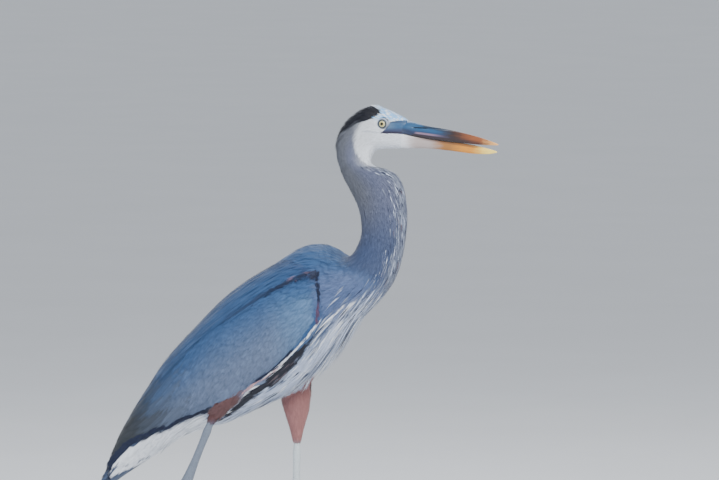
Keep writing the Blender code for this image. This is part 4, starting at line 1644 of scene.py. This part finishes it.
# %% Both halves of the bill
UPPER_BILL = (  # top x, top z, under x, under z, half width, in millimetres
    (158, 760, 155, 749, 10), (166, 764, 164, 747.2, 12.2), (174, 765.6, 172, 745.6, 12.1),
    (183, 763.4, 182, 743.6, 11), (191.6, 761.2, 191.6, 741.8, 10), (203, 758.8, 203, 740, 9.2),
    (215, 756.6, 215, 738.5, 8.4), (230, 754.6, 230, 736.8, 7.5), (245, 752.3, 245, 735.2, 6.6),
    (260, 749.4, 260, 733.6, 5.7), (275, 746, 275, 732.4, 4.7), (289, 742.4, 289, 731.8, 3.6),
    (300, 738.6, 300, 731.4, 2.6), (309, 735.7, 309, 731.5, 1.6), (315.3, 733.3, 315.3, 731.9, 0.8),
)
LOWER_BILL = (
    (155, 746, 153, 727, 10), (163, 746.6, 161, 724.6, 12), (171.5, 745.4, 169.5, 723.4, 11.9),
    (180, 743.6, 179, 723.6, 10.9), (191.6, 741.4, 191.6, 723.9, 9.4), (203, 739.4, 203, 723.8, 8.5),
    (215, 738, 215, 723.3, 7.6), (230, 736.3, 230, 722.3, 6.7), (245, 734.9, 245, 721, 5.8),
    (260, 733.4, 260, 719.4, 5), (275, 731.4, 275, 717.9, 4.2), (289, 728.8, 289, 717.8, 3.3),
    (300, 726, 300, 718, 2.3), (308, 724, 308, 719.6, 1.4), (313.2, 722.4, 313.2, 721, 0.7),
)
UPPER_SECTION = (  # share of the half width, share of the half height, from the ridge down
    (0.00, 1.00), (0.26, 0.90), (0.50, 0.70), (0.70, 0.42), (0.85, 0.08), (0.95, -0.32), (1.00, -0.74),
    (0.97, -0.98), (0.78, -0.94), (0.42, -0.82), (0.00, -0.78),
)
LOWER_SECTION = (
    (0.00, 0.76), (0.42, 0.80), (0.76, 0.92), (0.93, 0.98), (1.00, 0.74), (0.98, 0.30), (0.90, -0.14),
    (0.76, -0.52), (0.56, -0.82), (0.30, -0.97), (0.00, -0.94),
)


RING_STEP = 0.01  # radius of a tube's first circle and the way to the next, before they are set in place


def tube(name, rings, levels):
    """A closed tube through rings of points: a circle extruded ring by ring, then set in place."""
    count = rings.shape[1]
    bpy.ops.object.select_all(action="DESELECT")
    bpy.ops.mesh.primitive_circle_add(vertices=count, radius=RING_STEP, fill_type="NGON")
    piece = bpy.context.object
    piece.name = name
    climb = {"value": (0, 0, RING_STEP)}
    edit(piece, bpy.ops.mesh.extrude_region_move, len(rings) - 1, TRANSFORM_OT_translate=climb)
    points = points_of(piece)
    turned = np.round(np.arctan2(points[:, 1], points[:, 0]) / (2 * math.pi) * count).astype(int) % count
    level = np.rint(points[:, 2] / RING_STEP).astype(int)
    move_points(piece, rings[level, turned])
    piece.data.name = name
    edit(piece, bpy.ops.mesh.normals_make_consistent, inside=False)
    if levels:
        apply(piece, "SUBSURF", levels=levels, render_levels=levels)
    pick(piece)
    bpy.ops.object.shade_smooth()
    return piece


def bill_rings(stations, section):
    half = np.array(section)
    full = np.concatenate([half, half[-2:0:-1] * [-1, 1]])
    rings = []
    for top_x, top_z, under_x, under_z, width in stations:
        rise_share = (full[:, 1] + 1) / 2
        x = under_x + (top_x - under_x) * rise_share
        z = under_z + (top_z - under_z) * rise_share
        rings.append(np.stack([x, full[:, 0] * width, z], -1) * MM + SHIFT)
    return np.array(rings)


def slit_height(x):
    """The height of the nostril's slit, in millimetres; x is a number, an array or a wire."""
    return 755.2 - (x - 195.0) * 0.045


bill_upper = tube("bill_upper_horn", bill_rings(UPPER_BILL, UPPER_SECTION), 3)
bill_lower = tube("bill_lower_horn", bill_rings(LOWER_BILL, LOWER_SECTION), 3)

points = points_of(bill_upper)
normals = normals_of(bill_upper)
x, y, z = in_mm(points)
slit = np.exp(-(((z - slit_height(x)) / 0.75) ** 2)) * rise(x, 181, 185) * rise(x, 207, 201)
groove = np.exp(-(((z - slit_height(x)) / 1.6) ** 2)) * rise(x, 172, 182) * rise(x, 262, 225)
flank = rise(np.abs(normals[:, 1]), 0.3, 0.6)
deep = (slit * 1.5 + groove * 0.55) * flank
move_points(bill_upper, points - normals * (deep * MM)[:, None])
print("bill of", len(bill_upper.data.polygons), "and", len(bill_lower.data.polygons), "faces")

# %% [markdown]
# The horn changes colour along the bill: blue-grey at the root, brown and then orange towards the tip, and
# below pinkish white, then yellow. The borders are soft, with fine streaks running forwards, which keratin
# has because it grows that way.

# %% Horn finishes
BILL_X = 191.6  # millimetres; the slanting lines of the bill are measured from here


def horn(name, **constants):
    """A horn finish with the places that its colours need: x and z in millimetres, streaks and spots."""
    material, shader, place = finish(name, Roughness=0.34, Specular_IOR_Level=0.5, **constants)
    from_zero = place.node("ShaderNodeVectorMath", {0: place, 1: tuple(-SHIFT)}, operation="ADD")
    in_mm = from_zero.node("ShaderNodeVectorMath", {0: from_zero, "Scale": 1 / MM}, operation="SCALE")
    x = in_mm.node("ShaderNodeSeparateXYZ", {0: in_mm}, output=0)
    z = in_mm.node("ShaderNodeSeparateXYZ", {0: in_mm}, output=2)
    fibres = place.noise(420.0, detail=5.0, roughness=0.6, stretch=(0.07, 1.0, 1.0))
    spots = place.noise(120.0, detail=4.0, roughness=0.65)
    return material, shader, x, z, fibres, spots


upper_finish, shader, x, z, fibres, spots = horn("bill_upper_horn", Coat_Weight=0.15, Coat_Roughness=0.2)
wander = x + (fibres - 0.5) * 22.0 + (spots - 0.5) * 14.0
edge = z - (741.6 - (x - BILL_X) * 0.112)  # height above the cutting edge
blue = edge.rise(7.0, 13.0).mix(rgba(34, 46, 74), rgba(40, 80, 118))
blue = wander.rise(174.0, 196.0).mix(blue, edge.rise(6.0, 12.0).mix(rgba(26, 50, 88), rgba(30, 78, 118)))
colour = wander.rise(214.0, 246.0).mix(blue, rgba(44, 32, 32))
# Rust brown, lighter and more orange towards the top: the brown is the horn's own, the lighter top a painted
# highlight.
rust_and_highlight = (edge + (x - BILL_X) * 0.05).rise(7.0, 13.0).mix(rgba(72, 38, 28), rgba(132, 74, 40))
colour = wander.rise(240.0, 282.0).mix(colour, rust_and_highlight)
colour = wander.rise(286.0, 313.0).mix(colour, rgba(224, 168, 100))
pale = wander.rise(182.0, 194.0) * wander.rise(240.0, 206.0) * edge.rise(4.0, 5.4) * edge.rise(8.4, 6.6)
colour = (pale * 0.6).mix(colour, rgba(158, 124, 140))
dark_edge = wander.rise(176.0, 188.0) * wander.rise(282.0, 250.0) * edge.rise(5.2, 3.8)
colour = (dark_edge * 0.92).mix(colour, rgba(40, 26, 28))
ridge = wander.rise(190.0, 202.0) * wander.rise(244.0, 222.0) * (edge + (x - BILL_X) * 0.04).rise(13.4, 16.4)
colour = (ridge * 0.85).mix(colour, rgba(22, 32, 48))
slit_place = (z - slit_height(x)).size()
nostril = slit_place.rise(1.1, 0.5) * x.rise(182.0, 185.5) * x.rise(207.0, 202.0)
colour = (nostril * 0.95).mix(colour, rgba(16, 20, 28))
connect(
    shader, Base_Color=(0.86 + fibres * 0.20 + spots * 0.08).brighter(colour),
    Roughness=0.26 + fibres * 0.2, Normal=(fibres + spots * 0.4).bump(0.12, 0.6),
)
dress(bill_upper, upper_finish)

lower_finish, shader, x, z, fibres, spots = horn("bill_lower_horn", Coat_Weight=0.15, Coat_Roughness=0.2)
wander = x + (fibres - 0.5) * 20.0 + (spots - 0.5) * 12.0
root_colour = wander.rise(166.0, 190.0).mix(rgba(222, 224, 230), rgba(168, 156, 154))
colour = wander.rise(206.0, 232.0).mix(root_colour, rgba(154, 102, 46))
colour = wander.rise(236.0, 262.0).mix(colour, rgba(206, 132, 30))
colour = wander.rise(272.0, 302.0).mix(colour, rgba(250, 220, 108))
edge = z - (740.2 - (x - BILL_X) * 0.125)
line = edge.rise(-3.0, -0.6) * wander.rise(300.0, 268.0) * wander.rise(180.0, 215.0)
colour = (line * 0.7).mix(colour, rgba(70, 44, 34))
connect(
    shader, Base_Color=(0.88 + fibres * 0.16 + spots * 0.08).brighter(colour),
    Roughness=0.28 + fibres * 0.2, Normal=(fibres + spots * 0.4).bump(0.10, 0.6),
)
dress(bill_lower, lower_finish)
for piece, node in ((bill_upper, "bill_upper"), (bill_lower, "bill_lower")):
    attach(piece, BODY)
    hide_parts(node)

# %% [markdown]
# ## Lores
#
# Between bill and eye the skin is bare. A fine sheet is laid on the skin there from each side, so that its
# wrinkles and the dark line of the gape can be sharper than the skin beneath. Outside the bare place it
# dips under the feathers.

# %% Bare skin before the eyes
lore_finish, shader, place = finish("lore_skin", Roughness=0.42)
tint = place.painted()
pores = place.cells(1500.0)
grain = place.noise(420.0, detail=4.0)
connect(
    shader, Base_Color=(0.78 + grain * 0.36 + pores * 0.10).brighter(tint),
    Roughness=0.34 + grain * 0.2, Normal=(pores * 0.8 + grain).bump(0.14, 0.7),
)
LORE_SPAN = (126.0, 188.0, 742.0, 769.0)  # x from and to, z from and to, in millimetres
LORE_STEP = 0.5

for word, side in SIDES.items():
    columns = int((LORE_SPAN[1] - LORE_SPAN[0]) / LORE_STEP)
    rows = int((LORE_SPAN[3] - LORE_SPAN[2]) / LORE_STEP)
    bpy.ops.object.select_all(action="DESELECT")
    bpy.ops.mesh.primitive_grid_add(x_subdivisions=columns, y_subdivisions=rows, size=1.0)
    lore = bpy.context.object
    lore.name = "lore_" + word
    flat = points_of(lore)
    x = LORE_SPAN[0] + (flat[:, 0] + 0.5) * (LORE_SPAN[1] - LORE_SPAN[0])
    z = LORE_SPAN[2] + (flat[:, 1] + 0.5) * (LORE_SPAN[3] - LORE_SPAN[2])
    origins = np.stack([x, np.full(len(x), side * 40.0), z], -1) * MM + SHIFT
    ways = np.tile([0.0, -side, 0.0], (len(x), 1))
    spots, normals, good = surface.struck(origins, ways, 0.045)
    depth = np.minimum(bare(x, z), 171.5 - x)
    gape = np.exp(-(((z - 748.2 - (x - 150) * -0.02) / 0.9) ** 2)) * rise(x, 128, 140)
    wrinkles = np.sin(z * 2.6 + np.sin(x * 0.21) * 1.8 + x * 0.05) * rise(x, 186, 150) * 0.10
    lift = 0.75 * rise(depth, -1.2, 0.8) - 0.1 + wrinkles * rise(depth, 0.0, 2.0) - gape * 0.45
    lift = np.where(good, lift, -3.0)
    spots = np.where(good[:, None], spots + normals * (lift * MM)[:, None], origins * [1, 0, 1])
    move_points(lore, spots)
    pick(lore)
    bpy.ops.object.mode_set(mode="EDIT")
    bpy.ops.mesh.select_all(action="DESELECT")
    bpy.ops.object.mode_set(mode="OBJECT")
    unwanted = ~good | (depth < -1.8)
    lore.data.vertices.foreach_set("select", unwanted)
    bpy.ops.object.mode_set(mode="EDIT")
    bpy.ops.mesh.delete(type="VERT")
    bpy.ops.object.mode_set(mode="OBJECT")
    x, _, z = in_mm(points_of(lore))
    colours = layered(
        np.tile(linear((84, 110, 140)), (len(x), 1)),
        # Darker and bluer towards the bill: painted shade, so that the lore meets the horn without a step in
        # brightness.
        ((36, 78, 118), rise(x, 140, 163)),
        ((44, 54, 86), rise(z, 756.5, 750.5)),
        ((30, 40, 70), np.exp(-(((z - 763.4) / 1.0) ** 2)) * rise(x, 182, 150)),
        ((26, 16, 40), np.exp(-(((z - 748.0) / 1.2) ** 2))),
    )
    paint(lore, colours)
    dress(lore, lore_finish)
    if normals_of(lore)[:, 1].mean() * side < 0:
        lore.data.flip_normals()
    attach(lore, BODY)
print("lores of", len(lore.data.polygons), "faces each")

# %% [markdown]
# ## Eyes and lids
#
# An eye is a globe with the cornea bulging a little in front. Pupil, iris and the dark ring round it are
# rings about the eye's axis, read from Object coordinates. The lids are one bare ring round it, drawn out a
# little towards the bill.

# %% Eyes
PUPIL, IRIS, RING = 2.2, 5.0, 5.6  # radii in millimetres


def about_eye(place):
    """Places as millimetres across from the eye's axis, and how far they are from it."""
    parts = place.node("ShaderNodeVectorMath", {0: place, 1: tuple(-EYE * [1, 0, 1])}, operation="ADD")
    flat = parts.node("ShaderNodeVectorMath", {0: parts, 1: (1 / MM, 0.0, 1 / MM)}, operation="MULTIPLY")
    return flat, flat.node("ShaderNodeVectorMath", {0: flat}, output=1, operation="LENGTH")


iris_finish, shader, place = finish(
    "eye_wet", Roughness=0.10, Coat_Weight=0.5, Coat_Roughness=0.02, Specular_IOR_Level=0.15
)
flat_place, radius = about_eye(place)
rays = flat_place.noise(1.6, detail=5.0, roughness=0.7)
out_share = (radius - PUPIL) / (IRIS - PUPIL)
colour = (out_share + (rays - 0.5) * 0.9).rise(0.1, 0.9).mix(rgba(196, 182, 118), rgba(178, 178, 148))
colour = (radius + rays * 0.5).rise(IRIS - 0.3, IRIS + 0.35).mix(colour, rgba(70, 74, 70))
colour = radius.rise(RING - 0.5, RING).mix(colour, rgba(16, 18, 24))
colour = radius.rise(PUPIL + 0.25, PUPIL - 0.1).mix(colour, rgba(4, 4, 6))
connect(shader, Base_Color=(0.82 + rays * 0.36).brighter(colour))

lid_finish, shader, place = finish("lid_skin", Roughness=0.45)
radius = about_eye(place)[1]
pores = place.cells(2200.0)
folds = place.noise(700.0, detail=3.0)
colour = (radius + folds * 0.8).rise(5.9, 6.8).mix(rgba(18, 22, 32), rgba(56, 68, 86))
colour = (radius + folds * 0.8).rise(7.0, 8.0).mix(colour, rgba(150, 160, 176))
connect(
    shader, Base_Color=(0.8 + pores * 0.2 + folds * 0.2).brighter(colour),
    Normal=(pores + folds).bump(0.12, 0.7),
)
LID_PROFILE = (  # radius from the eye's axis, distance out from the body's middle, in millimetres
    (5.40, 15.9), (5.50, 17.0), (5.70, 17.62), (6.10, 17.92), (6.55, 17.74), (6.85, 17.38),
    (7.20, 17.36), (7.65, 16.95), (8.30, 15.90), (9.10, 14.40), (8.80, 12.80),
)

for word, side in SIDES.items():
    bpy.ops.object.select_all(action="DESELECT")
    bpy.ops.mesh.primitive_uv_sphere_add(segments=72, ring_count=48, radius=EYE_RADIUS)
    globe = bpy.context.object
    globe.name = "eye_globe_" + word
    points = points_of(globe)
    away = np.hypot(points[:, 0], points[:, 1])
    bulge = np.clip(1 - (away / (5.4 * MM)) ** 2, 0, 1) * (points[:, 2] > 0)
    points[:, 2] += bulge * 0.8 * MM
    middle = EYE * [1, side, 1]
    move_points(globe, np.stack([points[:, 0], points[:, 2] * side, points[:, 1]], -1) + middle)
    edit(globe, bpy.ops.mesh.normals_make_consistent, inside=False)
    dress(globe, iris_finish)
    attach(globe, BODY)
    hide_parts("eye_" + word)

    turns = np.linspace(0, 2 * math.pi, 48, endpoint=False)
    corner = 0.13 * np.exp(-((np.angle(np.exp(1j * turns)) / 0.42) ** 2))
    corner = corner + 0.05 * np.exp(-((np.angle(np.exp(1j * (turns - math.pi))) / 0.45) ** 2))
    rings = []
    for index, (lid_radius, out) in enumerate(LID_PROFILE):
        share = min(index / 3, 1.0)
        stretch = 1 + corner * (0.35 + 0.65 * share)
        wave = 0.10 * np.sin(turns * 9 + index) * (index in (4, 5, 6, 7))
        x = np.cos(turns) * lid_radius * stretch
        z = np.sin(turns) * (lid_radius * (1 - 0.03 * share) + wave)
        narrower = 2.0 * max(index - 7, 0) * np.clip(np.cos(turns), 0, 1)  # as the head is before the eye
        y = out - narrower - 0.35 * np.abs(np.sin(turns)) * share + wave
        rings.append(np.stack([x, y * side - middle[1] / MM, z], -1) * MM + middle)
    lid = tube("eyelid_" + word, np.array(rings), 0)
    pick(lid)
    bpy.ops.object.mode_set(mode="EDIT")
    bpy.ops.mesh.select_all(action="DESELECT")
    bpy.ops.mesh.select_face_by_sides(number=4, type="GREATER", extend=False)
    bpy.ops.mesh.delete(type="ONLY_FACE")
    bpy.ops.object.mode_set(mode="OBJECT")
    apply(lid, "SUBSURF", levels=2, render_levels=2)
    if normals_of(lid)[:, 1].sum() * side < 0:
        lid.data.flip_normals()
    dress(lid, lid_finish)
    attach(lid, BODY)
print("eyes and lids of", len(lid.data.polygons), "faces each")

# %% [markdown]
# ## Legs and feet
#
# Shank, tarsus and toes are one scaled skin. As with the body, copies of their solids are joined, remeshed
# finely and smoothed. Scutes, the broad plates across the front of the tarsus and over the toes, are real
# steps in the surface; the small net of scales elsewhere is bump.

# %% Scaled legs
SCUTE = 4.6  # millimetres from one plate of the tarsus to the next
TOE_NAMES = ("inner", "middle", "outer", "hallux")
FOOT_Y = 45.0  # millimetres from the body's middle
LEG_TINT = {"left": (196, 205, 210), "right": (112, 122, 138)}  # lit and shaded
FOOT = {"left": (30.0, 22), "right": (-164.2, 32)}  # x of the toes' root, height where their plates end
leg_finish, shader, place = finish("leg_scales", Roughness=0.5)
tint = place.painted()
net = place.cells(520.0, "DISTANCE_TO_EDGE")
plates = net.rise(0.0, 0.16)
dust = place.noise(160.0, detail=4.0)
connect(
    shader, Base_Color=(0.70 + plates * 0.22 + dust * 0.22).brighter(tint),
    Roughness=0.40 + dust * 0.25, Normal=(plates * 0.7 + dust * 0.3).bump(0.22, 0.7),
)

for word, side in SIDES.items():
    nodes = ["shank_" + word, "tarsus_" + word] + ["toe_" + word + "_" + toe for toe in TOE_NAMES]
    leg = one_volume("leg_" + word, nodes, 0.0, 0.00095, 3)
    points, normals = points_of(leg), normals_of(leg)
    middle, down, forwards, _, half_depth, half_width = leg_line(word, LEG_STEPS)
    run = run_along(middle) / MM
    nearest = KDTree(len(middle))
    for index, point in enumerate(middle):
        nearest.insert(point, index)
    nearest.balance()
    k = np.array([nearest.find(point)[1] for point in points.tolist()])
    along = run[k] + dot(points - middle[k], down[k]) / MM
    ahead = dot(normals, forwards[k])
    inwards = square_to(down[k], middle[k] - points)
    knee = run[int(KNEE_FEATHERS * LEG_STEPS)]
    points = points + inwards * (rise(along, knee + 18, knee + 2) * 0.30)[:, None]
    for toe in TOE_NAMES:  # each toe narrows to its claw and reaches over the claw's root
        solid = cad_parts["claw_" + word + "_" + toe]
        claw = np.array([solid.matrix_world @ corner.co for corner in solid.data.vertices])
        out = np.linalg.norm(claw - middle[-1], axis=1)
        root, tip = claw[out < out.min() + 1.0 * MM].mean(axis=0), claw[out.argmax()]
        aim = root + (tip - root) / np.linalg.norm(tip - root) * 1.2 * MM
        reach = np.linalg.norm(points - root, axis=1) / MM
        points = points + (aim - points) * (rise(reach, 7.0, 2.0) * 0.34)[:, None]
    x, y, z = in_mm(points)
    foot_x, toes_top = FOOT[word]
    away = np.hypot(x - foot_x, y - FOOT_Y * side)
    on_toe = rise(away, 12.0, 17.0) * rise(z, toes_top, 14)
    phase = (along / SCUTE) % 1.0
    step = 0.34 * (1 - phase**3) * rise(phase, 0.0, 0.10)
    front = rise(ahead, 0.15, 0.6) * rise(along, run[-1] * 0.30, run[-1] * 0.36) * (1 - on_toe)
    toe_phase = (away / 3.4) % 1.0
    toe_step = 0.30 * (1 - toe_phase**3) * rise(toe_phase, 0.0, 0.12) * rise(normals[:, 2], 0.0, 0.5)
    lift = (step - 0.12) * front + (toe_step - 0.1) * on_toe
    points = points + normals * (lift * MM)[:, None]
    points[:, 2] = np.maximum(points[:, 2], 0.0)
    move_points(leg, points)
    colours = layered(
        np.tile(linear(LEG_TINT[word]), (len(points), 1)),
        ((128, 132, 132), rise(along, run[-1] * 0.45, run[-1] * 0.75) * 0.5),
        ((96, 98, 98), on_toe * 0.55),
    )
    groove = rise(phase, 0.10, 0.0) * front + rise(toe_phase, 0.12, 0.0) * on_toe
    colours = colours * (1 - 0.45 * np.clip(groove, 0, 1))[:, None]
    paint(leg, colours)
    dress(leg, leg_finish)
    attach(leg, BODY)
    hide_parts(*nodes)
    print("leg_" + word, "of", len(leg.data.polygons), "faces")

# %% [markdown]
# The claws keep the solids' shape, smoothed, and get a dark horn streaked with paler fibres.

# %% Claws
claw_finish, shader, place = finish("claw_horn", Roughness=0.35, Coat_Weight=0.2, Coat_Roughness=0.2)
fibres = place.noise(900.0, detail=4.0)
connect(
    shader, Base_Color=fibres.rise(0.35, 0.75).mix(rgba(34, 30, 30), rgba(74, 66, 60)),
    Normal=fibres.bump(0.08, 0.5),
)
for word in SIDES:
    for toe in TOE_NAMES:
        node = "claw_" + word + "_" + toe
        claw = merged_copy(node + "_horn", node)
        apply(claw, "SUBSURF", levels=2, render_levels=2, subdivision_type="SIMPLE")
        apply(claw, "SMOOTH", factor=0.4, iterations=3)
        dress(claw, claw_finish)
        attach(claw, BODY)
        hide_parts(node)
print("claws done")
